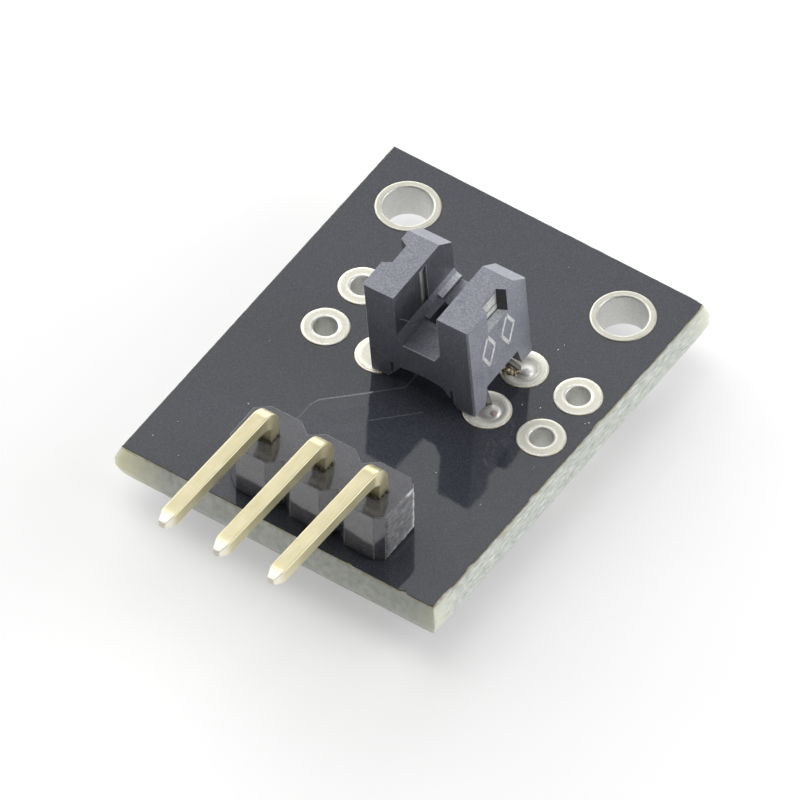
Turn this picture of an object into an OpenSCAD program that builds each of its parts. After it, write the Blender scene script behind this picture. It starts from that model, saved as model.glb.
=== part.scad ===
// Fork photoelectric sensor on its carrier board.
// The origin is midway between the two mounting holes, on the board's underside.
// +X runs to the right along the pin header, +Y away from the header, +Z up. Millimetres.

/* [Board] */
// Width of the board's printed face
board_w = 14.6; // [13.6:0.1:17]
// Depth of the board's printed face, from the header edge to the far edge
board_d = 18.7; // [17.5:0.1:21]
// Thickness of the board with both mask layers
board_t = 1.6; // [1:0.1:2]
// Thickness of one solder mask layer
mask_t = 0.05; // [0.03:0.01:0.08]
// How far the broken score line stands out past the printed face
ridge_out = 0.2; // [0.1:0.05:0.3]
// Height of the rough strip left by the snapped score line
ridge_h = 0.5; // [0.3:0.1:0.7]
// Hole pitch shared by the header and the sensor footprint
pitch = 2.54; // [2.5:0.01:2.6]
// How far the header and the sensor sit to the right of the board's middle
column_offset = 0.86; // [0.6:0.02:1]

/* [Mounting holes] */
// Distance between the two mounting holes
mount_pitch = 10.16; // [9.6:0.02:10.6]
// Distance from the hole centres to the far edge of the board
mount_back = 2.3; // [2:0.1:2.8]
// Clear diameter of a mounting hole
mount_hole_d = 2; // [1.8:0.05:2.2]
// Outer diameter of the plated ring round a mounting hole
mount_ring_d = 2.64; // [2.5:0.02:3]

/* [Plated holes] */
// Clear diameter of a sensor footprint hole
pad_hole_d = 0.96; // [0.94:0.01:1.05]
// Outer diameter of the ring round a sensor footprint hole
pad_ring_d = 1.96; // [1.7:0.02:2.1]
// Clear diameter of a header hole
header_hole_d = 1; // [0.94:0.01:1.1]
// Outer diameter of the ring round a header hole
header_ring_d = 1.8; // [1.6:0.05:2.1]
// Thickness of the plating inside the holes
barrel_t = 0.05; // [0.03:0.01:0.08]
// How far the tinned rings stand above the mask
ring_proud = 0.02; // [0.01:0.01:0.04]
// Gap between a ring and the mask round it
mask_gap = 0.04; // [0.02:0.01:0.08]

/* [Header] */
// Number of pins
pin_count = 3; // [2:1:4]
// Distance from the header edge of the board to the row of pins
header_from_front = 1.9; // [1.7:0.1:2.6]
// Height of the plastic strip
header_h = 2.5; // [2:0.1:2.8]
// Depth of the plastic strip
header_d = 2.54; // [2.2:0.02:2.8]
// Length of the facets between segments, along the strip
facet_x = 0.57; // [0.3:0.01:0.7]
// Depth of the facets between segments
facet_y = 0.45; // [0.3:0.01:0.6]
// How far the snapped end falls short of a full segment
snap_in = 0.2; // [0.1:0.02:0.3]
// Side of a square pin
pin_s = 0.64; // [0.5:0.02:0.64]
// Height of the horizontal run's centre line over the board's face
pin_run_h = 3.83; // [3.6:0.01:4.4]
// Reach of the pins from their row to their tips
pin_reach = 7.1; // [6:0.1:8.5]
// Outer radius of the bend
bend_r = 1; // [0.8:0.05:1.1]
// Length of the tapered tip of a pin
tip_l = 0.5; // [0.3:0.05:0.8]
// Side of the small flat at the end of a tip
tip_s = 0.32; // [0.2:0.02:0.4]
// Length of the pin and lead tails below the board
tail_l = 1.3; // [1.1:0.1:1.6]

/* [Fork housing] */
// Width of the housing across both arms
fork_w = 4.92; // [4.8:0.02:5.1]
// Depth of the housing
fork_d = 4; // [3.8:0.05:4.4]
// Height of the housing
fork_h = 5.02; // [4.8:0.02:5.6]
// Distance from the header edge of the board to the middle of the sensor
fork_from_front = 10.72; // [10:0.02:11.4]
// Width of the slot between the arms
slot_w = 2.04; // [1.9:0.02:2.2]
// Height of the slot's floor over the feet
slot_floor_h = 2.34; // [2.2:0.02:2.5]
// Width of the slanted corners along the slot's floor
slot_corner_w = 0.27; // [0.2:0.01:0.3]
// Height of the slanted corners along the slot's floor
slot_corner_h = 0.5; // [0.4:0.02:0.6]
// Width of the shoulders that flank the rear of the slot's floor
shoulder_w = 0.34; // [0.3:0.01:0.4]
// Height of the shoulders over the slot's floor
shoulder_h = 0.32; // [0.26:0.02:0.4]
// How much lower the shoulders' edges are along the slot's middle
shoulder_fall = 0.1; // [0.06:0.02:0.14]
// Height of the low runs beside the recess in the slot's floor
run_h = 0.16; // [0.1:0.02:0.2]
// Distance from the front face to the recess in the slot's floor
recess_front = 1.57; // [1.4:0.01:1.7]
// Length of the recess, front to rear
recess_l = 1.08; // [0.9:0.02:1.2]
// Width of the recess
recess_w = 1.1; // [0.9:0.02:1.16]
// Depth of the recess below the slot's floor
recess_deep = 0.7; // [0.4:0.05:0.9]
// Depth of the bevel at the rear of each arm's top
bevel_d = 0.82; // [0.6:0.02:1]
// Height of the bevel at the rear of each arm's top
bevel_h = 0.67; // [0.5:0.02:0.8]
// Size of the small edge break on the arms' upright corners
edge_c = 0.07; // [0.04:0.01:0.1]
// Lean of the soldered sensor towards the header, in degrees
lean_forward = 2.7; // [0:0.1:3.5]
// Lean of the soldered sensor towards its left, in degrees
lean_left = 2.15; // [0:0.05:3]

/* [Housing feet] */
// Width of a foot across the housing
foot_w = 0.84; // [0.76:0.02:0.9]
// Half width of the side arch at the board
side_arch_foot = 1.25; // [1.23:0.01:1.35]
// Half width of the side arch at its roof
side_arch_roof = 1.05; // [1:0.01:1.1]
// Height of the side arch
side_arch_h = 0.9; // [0.8:0.02:1]
// Height of the front arch where its crown starts
front_arch_h = 0.86; // [0.8:0.02:0.9]
// Rise of the front arch's crown
front_crown_h = 0.12; // [0.08:0.02:0.2]
// Width of the slope from a foot to the front arch's crown
foot_slope_w = 0.62; // [0.5:0.02:0.7]
// Distance between the two narrow reliefs beside the front arch
relief_gap = 2.8; // [2.7:0.02:2.84]
// Width of a relief
relief_w = 0.13; // [0.1:0.01:0.16]
// Height of the reliefs' tops over the feet
relief_top = 0.96; // [0.9:0.02:1.1]
// Depth of the reliefs from the front face
relief_deep = 0.35; // [0.2:0.05:0.5]

/* [Optics] */
// Width of the light slit in each arm
slit_w = 0.45; // [0.3:0.01:0.6]
// Gap between the light slit's foot and the slot's floor
slit_lift = 0.3; // [0.2:0.02:0.4]
// Thickness of the wall between the slot and an optical package
slot_wall = 0.12; // [0.1:0.01:0.16]
// Thickness of the roof over an optical package
roof_t = 0.24; // [0.2:0.02:0.4]
// Width of an optical package, front to rear
package_w = 2.5; // [2.3:0.02:2.6]
// Clearance between an optical package and the housing
package_gap = 0.02; // [0.01:0.01:0.04]
// Edge break on an optical package
package_c = 0.12; // [0.06:0.02:0.16]
// Bevel along a package's upper edge at the slot
lens_c = 0.16; // [0.1:0.02:0.2]
// Depth of the pocket in an arm's outer side
pocket_in = 0.37; // [0.3:0.01:0.4]
// Width of the pocket at the arm's outer side
pocket_w = 1.36; // [1.3:0.02:1.6]
// Width of the pocket where it meets the package
window_w = 0.98; // [0.8:0.02:1.2]
// Height of the pocket below the arm's top
pocket_h = 1.26; // [1.1:0.02:1.4]
// Height of the sloping sill at the pocket's foot
sill_h = 0.04; // [0.02:0.02:0.2]

/* [Leads] */
// Side of a square sensor lead
lead_s = 0.25; // [0.2:0.01:0.25]
// Distance between the two leads of one package
lead_gap = 1.27; // [1.1:0.01:1.4]
// How far a lead stands in from its hole's centre, across the sensor
lead_in_x = 0.14; // [0.05:0.01:0.14]
// How far a lead stands in from its hole's centre, front to rear
lead_in_y = 0.25; // [0.22:0.01:0.25]
// How far a lead reaches up into its package
lead_deep = 2; // [1:0.1:2.6]

/* [Solder] */
// Height of a solder cone under the board
cone_h = 0.8; // [0.6:0.05:1]
// Radius of a solder cone at its tip, past the lead's or pin's corner
cone_skin = 0.06; // [0.04:0.01:0.1]
// Margin between a solder cone's foot and the edge of its ring
cone_margin = 0.06; // [0.03:0.01:0.1]
// Height of the solder bead on top of the sensor holes
bead_h = 0.16; // [0.08:0.02:0.2]

/* [Resistors] */
// Length of a chip resistor
chip_l = 1.6; // [1.4:0.05:2]
// Width of a chip resistor
chip_w = 0.8; // [0.7:0.05:1.2]
// Height of a chip resistor
chip_h = 0.45; // [0.35:0.05:0.6]
// Length of the metal cap on each end
cap_l = 0.32; // [0.25:0.01:0.4]
// Thickness of the metal caps
cap_t = 0.03; // [0.02:0.01:0.05]
// Length of a resistor pad past the end of the chip
pad_out = 0.35; // [0.25:0.05:0.5]
// Margin of a resistor pad beside the chip
pad_side = 0.08; // [0.05:0.01:0.15]
// Distance between the two resistors
chip_gap = 4.2; // [3:0.1:5]
// Distance from the header edge of the board to the resistors
chip_from_front = 6.2; // [5.4:0.1:6.8]

/* [Hidden] */
$fn = 64;
eps = 0.01;
face_z = board_t;
seat_z = board_t + ring_proud;
front_y = mount_back - board_d;
sensor_y = front_y + fork_from_front;
header_y = front_y + header_from_front;
chip_y = front_y + chip_from_front;
ring_t = mask_t + ring_proud;
pin_x = [for (i = [0:pin_count - 1]) column_offset + (i - (pin_count - 1) / 2) * pitch];
pin_diagonal = pin_s * sqrt(2);
lead_diagonal = lead_s * sqrt(2);
mount_at = [for (s = [-1, 1]) [s * mount_pitch / 2, 0]];
sides = [[-1, -1], [-1, 1], [1, -1], [1, 1]];
lead_hole_at = [for (s = sides) [column_offset + s[0] * pitch, sensor_y + s[1] * pitch / 2]];
spare_hole_at = [for (s = sides) [column_offset + 2 * s[0] * pitch, sensor_y + s[1] * pitch / 2]];
chip_at = [for (s = [-1, 1]) [column_offset + s * chip_gap / 2, chip_y]];
chip_pad_l = pad_out + cap_l;
chip_pad_w = chip_w + 2 * pad_side;

// Housing values, in its own frame: origin at the middle of the feet
arm_x = slot_w / 2;
arm_out = fork_w / 2;
half_d = fork_d / 2;
cavity_in = arm_x + slot_wall;
cavity_out = arm_out - pocket_in;
cavity_top = fork_h - roof_t;
package_bottom = side_arch_h + 0.05;
package_x = (cavity_in + cavity_out) / 2;
slit_z = slot_floor_h + slit_lift;
foot_in = arm_out - foot_w;
crown_x = foot_in - foot_slope_w;
crown_r = (crown_x * crown_x + front_crown_h * front_crown_h) / (2 * front_crown_h);
lift = arm_out * sin(lean_left) + half_d * sin(lean_forward);

// Lead values, in the board's frame: the run between the package and the hole
lead_from = [package_x, lead_gap / 2];
lead_to = [pitch - lead_in_x, pitch / 2 - lead_in_y];
lead_step = lead_to - lead_from;
lead_run = norm(lead_step);
lead_angle = atan2(lead_step[1], lead_step[0]);
lead_high = seat_z + lift + side_arch_h - 0.1;
lead_low = seat_z + 0.16;
lead_mitre = lead_s / 2 * tan(atan2(lead_run, lead_high - lead_low) / 2);

plate_colour = [0.8, 0.79, 0.74];
solder_colour = [0.72, 0.72, 0.71];
mask_colour = [0.08, 0.08, 0.09];
laminate_colour = [0.72, 0.74, 0.62];
gold_colour = [0.82, 0.76, 0.55];
strip_colour = [0.12, 0.12, 0.13];
housing_colour = [0.19, 0.18, 0.21];
package_colour = [0.5, 0.46, 0.36];
chip_colour = [0.1, 0.1, 0.11];

// Copies its child at each of the given places
module at_each(places) {
    for (p = places) translate(p) children();
}

// Holes of the given clear diameters, widened by the same amount
module all_holes(margin) {
    at_each(mount_at) circle(d = mount_hole_d + margin);
    at_each(lead_hole_at) circle(d = pad_hole_d + margin);
    at_each(spare_hole_at) circle(d = pad_hole_d + margin);
    for (x = pin_x) translate([x, header_y]) circle(d = header_hole_d + margin);
}

// Openings that the mask leaves round the tinned rings
module ring_openings() {
    at_each(mount_at) circle(d = mount_ring_d + 2 * mask_gap);
    at_each(lead_hole_at) circle(d = pad_ring_d + 2 * mask_gap);
    at_each(spare_hole_at) circle(d = pad_ring_d + 2 * mask_gap);
    for (x = pin_x) translate([x, header_y]) circle(d = header_ring_d + 2 * mask_gap);
}

// Outline of a scored and snapped board edge, over a given printed length
module scored_profile(length) {
    low = mask_t;
    high = board_t - mask_t;
    ridge_low = (board_t - ridge_h) / 2;
    ridge_high = (board_t + ridge_h) / 2;
    polygon([
        [-length / 2, high], [-length / 2 - ridge_out, ridge_high],
        [-length / 2 - ridge_out, ridge_low], [-length / 2, low],
        [length / 2, low], [length / 2 + ridge_out, ridge_low],
        [length / 2 + ridge_out, ridge_high], [length / 2, high]
    ]);
}

module board_laminate() {
    reach = board_w + board_d;
    color(laminate_colour) difference() {
        translate([0, front_y + board_d / 2, 0]) intersection() {
            rotate([90, 0, 0]) translate([0, 0, -reach / 2])
                linear_extrude(reach) scored_profile(board_w);
            rotate([90, 0, 90]) translate([0, 0, -reach / 2])
                linear_extrude(reach) scored_profile(board_d);
        }
        translate([0, 0, -1]) linear_extrude(board_t + 2) all_holes(2 * barrel_t);
    }
}

// The printed face's rectangle
module face_outline() {
    translate([-board_w / 2, front_y]) square([board_w, board_d]);
}

module solder_mask_top() {
    color(mask_colour) translate([0, 0, board_t - mask_t]) linear_extrude(mask_t) difference() {
        face_outline();
        ring_openings();
    }
}

module solder_mask_bottom() {
    color(mask_colour) linear_extrude(mask_t) difference() {
        face_outline();
        ring_openings();
        at_each(chip_at) for (s = [-1, 1]) translate([0, s * (chip_l / 2 - cap_l + chip_pad_l / 2)])
            square([chip_pad_w + 2 * mask_gap, chip_pad_l + 2 * mask_gap], center = true);
    }
}

// A plated hole: a barrel through the board with a ring on each face
module plated_hole(hole_d, ring_d) {
    in_r = hole_d / 2;
    out_r = in_r + barrel_t;
    ring_r = ring_d / 2;
    color(plate_colour) rotate_extrude() polygon([
        [in_r, -ring_proud], [ring_r, -ring_proud], [ring_r, mask_t], [out_r, mask_t],
        [out_r, board_t - mask_t], [ring_r, board_t - mask_t], [ring_r, board_t + ring_proud],
        [in_r, board_t + ring_proud]
    ]);
}

module mounting_hole_plating(i) {
    translate(mount_at[i - 1]) plated_hole(mount_hole_d, mount_ring_d);
}

module lead_hole_plating(i) {
    translate(lead_hole_at[i - 1]) plated_hole(pad_hole_d, pad_ring_d);
}

module spare_hole_plating(i) {
    translate(spare_hole_at[i - 1]) plated_hole(pad_hole_d, pad_ring_d);
}

module header_hole_plating(i) {
    translate([pin_x[i - 1], header_y]) plated_hole(header_hole_d, header_ring_d);
}

// One faceted segment of the header strip, in plan
module strip_segment() {
    half_x = pitch / 2;
    half_y = header_d / 2;
    polygon([
        [-half_x, -half_y + facet_y], [-half_x + facet_x, -half_y],
        [half_x - facet_x, -half_y], [half_x, -half_y + facet_y],
        [half_x, half_y - facet_y], [half_x - facet_x, half_y],
        [-half_x + facet_x, half_y], [-half_x, half_y - facet_y]
    ]);
}

module header_strip() {
    end_x = pin_x[pin_count - 1] + pitch / 2 - snap_in;
    color(strip_colour) translate([0, header_y, seat_z]) difference() {
        linear_extrude(header_h) for (x = pin_x) translate([x, 0]) strip_segment();
        translate([end_x, -header_d, -1]) cube([pitch, 2 * header_d, header_h + 2]);
        for (x = pin_x) translate([x, 0, header_h / 2]) cube([pin_s, pin_s, header_h + 2], center = true);
    }
}

// Side view of a bent pin: x is the distance along the run, y the height
module pin_side() {
    half = pin_s / 2;
    top = face_z + pin_run_h + half;
    in_r = bend_r - pin_s;
    centre = [bend_r - half, top - bend_r];
    tip = [pin_reach, face_z + pin_run_h];
    polygon(concat(
        [[-tip_s / 2, -tail_l], [tip_s / 2, -tail_l], [half, tip_l - tail_l]],
        [for (a = [180:-10:90]) centre + in_r * [cos(a), sin(a)]],
        [[tip[0] - tip_l, tip[1] - half], [tip[0], tip[1] - tip_s / 2]],
        [[tip[0], tip[1] + tip_s / 2], [tip[0] - tip_l, tip[1] + half]],
        [for (a = [90:10:180]) centre + bend_r * [cos(a), sin(a)]],
        [[-half, tip_l - tail_l]]
    ));
}

// Top view of the run, with its tapered tip
module pin_top() {
    half = pin_s / 2;
    polygon([
        [-1, -half], [pin_reach - tip_l, -half], [pin_reach, -tip_s / 2],
        [pin_reach, tip_s / 2], [pin_reach - tip_l, half], [-1, half]
    ]);
}

// Front view of the tail, with its tapered end
module pin_front() {
    half = pin_s / 2;
    top = face_z + pin_run_h + pin_s;
    polygon([
        [-half, top], [-half, tip_l - tail_l], [-tip_s / 2, -tail_l],
        [tip_s / 2, -tail_l], [half, tip_l - tail_l], [half, top]
    ]);
}

module header_pin(i) {
    color(gold_colour) translate([pin_x[i - 1], header_y, 0]) rotate([0, 0, -90]) intersection() {
        rotate([90, 0, 0]) translate([0, 0, -pin_s]) linear_extrude(2 * pin_s) pin_side();
        translate([0, 0, -tail_l - 1]) linear_extrude(2 * pin_reach) pin_top();
        rotate([90, 0, 90]) translate([0, 0, -1]) linear_extrude(pin_reach + 2) pin_front();
    }
}

// A soldered hole: the filled barrel, a hollow-sided cone below and a bead above
module solder_fill(hole_d, ring_d, core, bead) {
    hole_r = hole_d / 2;
    foot_r = ring_d / 2 - cone_margin;
    tip_r = core / 2 + cone_skin;
    flare = [for (a = [0:15:90]) [
        foot_r - (foot_r - tip_r) * sin(a),
        -ring_proud - cone_h * (1 - cos(a))
    ]];
    dome = [for (a = [75:-15:15]) [hole_r * sin(a), seat_z + bead * cos(a)]];
    rotate_extrude() polygon(concat(
        [[0, -ring_proud - cone_h]],
        [for (k = [len(flare) - 1:-1:0]) flare[k]],
        [[hole_r, -ring_proud], [hole_r, seat_z]],
        bead > 0 ? concat(dome, [[0, seat_z + bead]]) : [[0, seat_z]]
    ));
}

module header_solder(i) {
    color(solder_colour) translate([pin_x[i - 1], header_y, 0]) difference() {
        solder_fill(header_hole_d, header_ring_d, pin_diagonal, 0);
        cube([pin_s, pin_s, 4 * board_t], center = true);
    }
}

// Places its child in the frame of the leaning housing
module housing_frame() {
    translate([column_offset, sensor_y, seat_z + lift]) rotate([lean_forward, -lean_left, 0])
        children();
}

// A shoulder at the right of the slot's floor: the low run, then the higher part behind it
module shoulder() {
    back_y = recess_front + recess_l - half_d;
    low_z = slot_floor_h - eps;
    top_z = slot_floor_h + shoulder_h;
    translate([recess_w / 2, recess_front - half_d, low_z]) cube([arm_x, recess_l + eps, run_h + eps]);
    translate([0, fork_d, 0]) rotate([90, 0, 0]) linear_extrude(fork_d - back_y) polygon([
        [arm_x - shoulder_w, low_z], [arm_x + eps, low_z], [arm_x + eps, top_z],
        [arm_x - slot_corner_w / 3, top_z], [arm_x - shoulder_w, top_z - shoulder_fall]
    ]);
}

// The slot between the arms, less the shoulders on its floor, and the recess between them
module slot_space() {
    translate([-recess_w / 2, recess_front - half_d, slot_floor_h - recess_deep])
        cube([recess_w, recess_l, recess_deep + shoulder_h]);
    difference() {
        rotate([90, 0, 0]) translate([0, 0, -fork_d]) linear_extrude(2 * fork_d) polygon([
            [-arm_x, fork_h + 1], [-arm_x, slot_floor_h + slot_corner_h],
            [-arm_x + slot_corner_w, slot_floor_h], [arm_x - slot_corner_w, slot_floor_h],
            [arm_x, slot_floor_h + slot_corner_h], [arm_x, fork_h + 1]
        ]);
        for (s = [0, 1]) mirror([s, 0, 0]) shoulder();
    }
}

// The pocket in the outer side of the right arm, open at the top
module pocket_space() {
    plan = [
        [arm_out + eps, -pocket_w / 2], [arm_out + eps, pocket_w / 2],
        [cavity_out, window_w / 2], [cavity_out, -window_w / 2]
    ];
    section = [
        [arm_out + eps, fork_h - pocket_h], [arm_out + eps, fork_h + 1],
        [cavity_out, fork_h + 1], [cavity_out, fork_h - pocket_h + sill_h]
    ];
    intersection() {
        linear_extrude(fork_h + 1) polygon(plan);
        rotate([90, 0, 0]) translate([0, 0, -pocket_w]) linear_extrude(2 * pocket_w) polygon(section);
    }
}

// The cavity that holds a package in the right arm, with the slit into the slot
module cavity_space() {
    translate([cavity_in, -package_w / 2, 0]) cube([cavity_out - cavity_in, package_w, cavity_top]);
    translate([arm_x - eps, -slit_w / 2, slit_z])
        cube([cavity_in - arm_x + 2 * eps, slit_w, cavity_top - slit_z]);
}

// The arches under the housing, front to rear and side to side, and the reliefs in the front face
module arch_space() {
    rotate([90, 0, 0]) translate([0, 0, -fork_d]) linear_extrude(2 * fork_d) {
        polygon([
            [-foot_in, -1], [-foot_in, 0], [-crown_x, front_arch_h],
            [crown_x, front_arch_h], [foot_in, 0], [foot_in, -1]
        ]);
        intersection() {
            translate([0, front_arch_h + front_crown_h - crown_r]) circle(r = crown_r);
            translate([-crown_x, front_arch_h - eps]) square([2 * crown_x, front_crown_h + 2 * eps]);
        }
    }
    for (s = [-1, 1]) translate([s * relief_gap / 2 - relief_w / 2, -half_d - eps, -eps])
        cube([relief_w, relief_deep + eps, relief_top + eps]);
    rotate([90, 0, 90]) translate([0, 0, -fork_w]) linear_extrude(2 * fork_w) polygon([
        [-side_arch_foot, -1], [-side_arch_foot, 0], [-side_arch_roof, side_arch_h],
        [side_arch_roof, side_arch_h], [side_arch_foot, 0], [side_arch_foot, -1]
    ]);
}

// The housing's block: its side view with the rear bevel, and its broken corners
module housing_block() {
    intersection() {
        rotate([90, 0, 90]) translate([0, 0, -fork_w]) linear_extrude(2 * fork_w) polygon([
            [-half_d, 0], [half_d, 0], [half_d, fork_h - bevel_h],
            [half_d - bevel_d, fork_h], [-half_d, fork_h]
        ]);
        linear_extrude(fork_h + 1) polygon([
            [-arm_out, -half_d + edge_c], [-arm_out + edge_c, -half_d],
            [arm_out - edge_c, -half_d], [arm_out, -half_d + edge_c],
            [arm_out, half_d - edge_c], [arm_out - edge_c, half_d],
            [-arm_out + edge_c, half_d], [-arm_out, half_d - edge_c]
        ]);
    }
}

module fork_housing() {
    color(housing_colour) housing_frame() difference() {
        housing_block();
        slot_space();
        arch_space();
        for (s = [0, 1]) mirror([s, 0, 0]) {
            pocket_space();
            cavity_space();
        }
    }
}

// The moulded package in the right arm, with its bevelled top
module package_body() {
    in_x = cavity_in + package_gap;
    out_x = cavity_out - package_gap;
    half = package_w / 2 - package_gap;
    intersection() {
        translate([in_x, -half, package_bottom]) cube([out_x - in_x, 2 * half, cavity_top - package_bottom]);
        rotate([90, 0, 90]) linear_extrude(fork_w) polygon([
            [-half, 0], [half, 0], [half, cavity_top - package_c],
            [half - package_c, cavity_top], [-half + package_c, cavity_top],
            [-half, cavity_top - package_c]
        ]);
        rotate([90, 0, 0]) translate([0, 0, -fork_d]) linear_extrude(2 * fork_d) polygon([
            [in_x, 0], [out_x, 0], [out_x, cavity_top], [in_x + lens_c, cavity_top],
            [in_x, cavity_top - lens_c]
        ]);
    }
}

module optical_package(side) {
    color(package_colour) difference() {
        housing_frame() mirror([side < 0 ? 1 : 0, 0, 0]) package_body();
        for (i = [1:4]) if (sides[i - 1][0] == side) lead_solid(i);
    }
}

module emitter_package() {
    optical_package(-1);
}

module detector_package() {
    optical_package(1);
}

// A lead's side view: x is the distance stepped outwards, y the height
module lead_side() {
    half = lead_s / 2;
    top = seat_z + lift + package_bottom + lead_deep;
    polygon([
        [-half, top], [half, top], [half, lead_high + lead_mitre],
        [lead_run + half, lead_low + lead_mitre], [lead_run + half, -tail_l],
        [lead_run - half, -tail_l], [lead_run - half, lead_low - lead_mitre],
        [-half, lead_high - lead_mitre]
    ]);
}

module lead_solid(i) {
    s = sides[i - 1];
    translate([column_offset, sensor_y, 0]) mirror([s[0] < 0 ? 1 : 0, 0, 0])
        mirror([0, s[1] < 0 ? 1 : 0, 0]) translate(lead_from) rotate([0, 0, lead_angle])
            rotate([90, 0, 0]) translate([0, 0, -lead_s / 2]) linear_extrude(lead_s) lead_side();
}

module sensor_lead(i) {
    color(plate_colour) lead_solid(i);
}

// Room under the housing at a place given in the sensor's own plan
function foot_room(x, y) = lift + x * sin(lean_left) + y * sin(lean_forward);

module sensor_solder(i) {
    s = sides[i - 1];
    room = foot_room(s[0] * pitch - pad_hole_d / 2, s[1] * pitch / 2 - pad_hole_d / 2);
    bead = min(bead_h, max(0, room - eps));
    core = lead_diagonal + 2 * norm([lead_in_x, lead_in_y]);
    color(solder_colour) difference() {
        translate(lead_hole_at[i - 1]) solder_fill(pad_hole_d, pad_ring_d, core, bead);
        lead_solid(i);
    }
}

// The block of ceramic between a resistor's caps, centred under the board
module chip_core() {
    translate([0, 0, -ring_proud - chip_h / 2])
        cube([chip_w - 2 * cap_t, chip_l - 2 * cap_t, chip_h - 2 * cap_t], center = true);
}

module resistor(i) {
    color(chip_colour) translate(chip_at[i - 1]) chip_core();
}

// Which resistor a numbered end belongs to, and which way that end faces
function end_at(i) = chip_at[floor((i - 1) / 2)];
function end_side(i) = i % 2 == 0 ? 1 : -1;

module resistor_cap(i) {
    color(solder_colour) translate(end_at(i)) difference() {
        translate([-chip_w / 2, end_side(i) > 0 ? chip_l / 2 - cap_l : -chip_l / 2, -ring_proud - chip_h])
            cube([chip_w, cap_l, chip_h]);
        chip_core();
    }
}

module resistor_pad(i) {
    y = end_side(i) > 0 ? chip_l / 2 - cap_l : -chip_l / 2 + cap_l - chip_pad_l;
    color(plate_colour) translate(end_at(i)) translate([-chip_pad_w / 2, y, -ring_proud])
        cube([chip_pad_w, chip_pad_l, ring_t]);
}

// A solder wedge from the end of a pad up the face of a cap
module resistor_solder(i) {
    color(solder_colour) translate(end_at(i)) mirror([0, end_side(i) < 0 ? 1 : 0, 0])
        rotate([90, 0, 90]) translate([chip_l / 2, -ring_proud, -chip_w / 2]) linear_extrude(chip_w)
            polygon(concat(
                [[0, 0], [pad_out - cap_t, 0]],
                [for (a = [15:15:90]) [
                    (pad_out - cap_t) * (1 - sin(a)),
                    -(chip_h - cap_t) * (1 - cos(a))
                ]]
            ));
}

board_laminate();
solder_mask_top();
solder_mask_bottom();
for (i = [1:2]) mounting_hole_plating(i);
for (i = [1:4]) lead_hole_plating(i);
for (i = [1:4]) spare_hole_plating(i);
for (i = [1:pin_count]) header_hole_plating(i);
header_strip();
for (i = [1:pin_count]) header_pin(i);
for (i = [1:pin_count]) header_solder(i);
fork_housing();
emitter_package();
detector_package();
for (i = [1:4]) sensor_lead(i);
for (i = [1:4]) sensor_solder(i);
for (i = [1:2]) resistor(i);
for (i = [1:4]) resistor_cap(i);
for (i = [1:4]) resistor_pad(i);
for (i = [1:4]) resistor_solder(i);
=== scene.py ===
"""Looks of a fork photoelectric sensor on its carrier board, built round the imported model."""
import math
import bmesh
import bpy
from mathutils import Matrix, Vector, noise


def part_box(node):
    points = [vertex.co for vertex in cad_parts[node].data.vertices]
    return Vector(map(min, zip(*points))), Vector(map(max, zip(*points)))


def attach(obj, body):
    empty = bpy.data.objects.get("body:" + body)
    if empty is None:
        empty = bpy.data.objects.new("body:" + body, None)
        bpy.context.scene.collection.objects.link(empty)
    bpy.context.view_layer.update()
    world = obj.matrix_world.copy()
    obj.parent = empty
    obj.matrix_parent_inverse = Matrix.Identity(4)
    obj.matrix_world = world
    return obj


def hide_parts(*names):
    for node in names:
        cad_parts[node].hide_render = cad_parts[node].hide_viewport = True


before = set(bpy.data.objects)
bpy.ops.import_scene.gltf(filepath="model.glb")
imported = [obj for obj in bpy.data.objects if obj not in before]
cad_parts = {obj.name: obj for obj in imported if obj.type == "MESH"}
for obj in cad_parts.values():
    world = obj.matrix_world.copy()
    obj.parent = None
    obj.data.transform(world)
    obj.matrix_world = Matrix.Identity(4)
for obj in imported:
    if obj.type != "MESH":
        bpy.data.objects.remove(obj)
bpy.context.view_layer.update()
scene = bpy.context.scene

# Lengths below are in millimetres, and pieces are scaled to metres when they are finished.
MM = 0.001

# Camera: the photograph's view, found from the plated rings and the board's corners
CAMERA_AIM = Vector((0.304, -8.429, 1.6))
CAMERA_DISTANCE = 916.9
CAMERA_AZIMUTH = 34.69
CAMERA_ELEVATION = 49.26
CAMERA_ROLL = -0.44
CAMERA_FOCAL_PIXELS = 23596.8
PICTURE_PIXELS = 800
SENSOR_WIDTH = 36.0

# Sizes that the boxes of the nodes don't give
MASK_THICKNESS = 0.05
MASK_GAP = 0.02
MOUNT_HOLE_R = 1.0
PAD_HOLE_R = 0.48
HEADER_HOLE_R = 0.5
PIN_SIDE = 0.64
PIN_BEND_R = 0.68
# How far a pin's tip leans to the left and upwards
PIN_LEAN = (-0.10, 0.10)
# How far the inside of a pin's bend is squeezed out sideways, and how far that reaches
BEND_BULGE = 0.09
BEND_BULGE_REACH = 0.40
TAIL_Z = -1.3
LEAN_FORWARD = 2.7
LEAN_LEFT = 2.15
FORK_WIDTH = 4.92
FORK_DEPTH = 4.0
SLOT_HALF = 1.02
SLOT_FLOOR = 2.34
SLOT_CORNER_WIDE = 0.27
SLOT_CORNER_HIGH = 0.5
FORK_HEIGHT = 5.02
ROOF = 0.24
SLIT_WIDE = 0.45
SLIT_FLOOR = 2.64
# Heights over the board of the bands of painted shade across the package resin, with half their width
# and their colour
RESIN_SHADE_BANDS = (
    (4.46, 0.05, (0.20, 0.20, 0.18)), (4.08, 0.08, (0.16, 0.16, 0.15)),
    (3.76, 0.06, (0.22, 0.22, 0.20)),
)


def low_high(node):
    """The node's lowest and highest corner in millimetres."""
    low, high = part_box(node)
    return low / MM, high / MM


def middle(node):
    low, high = low_high(node)
    return (low + high) / 2


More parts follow.
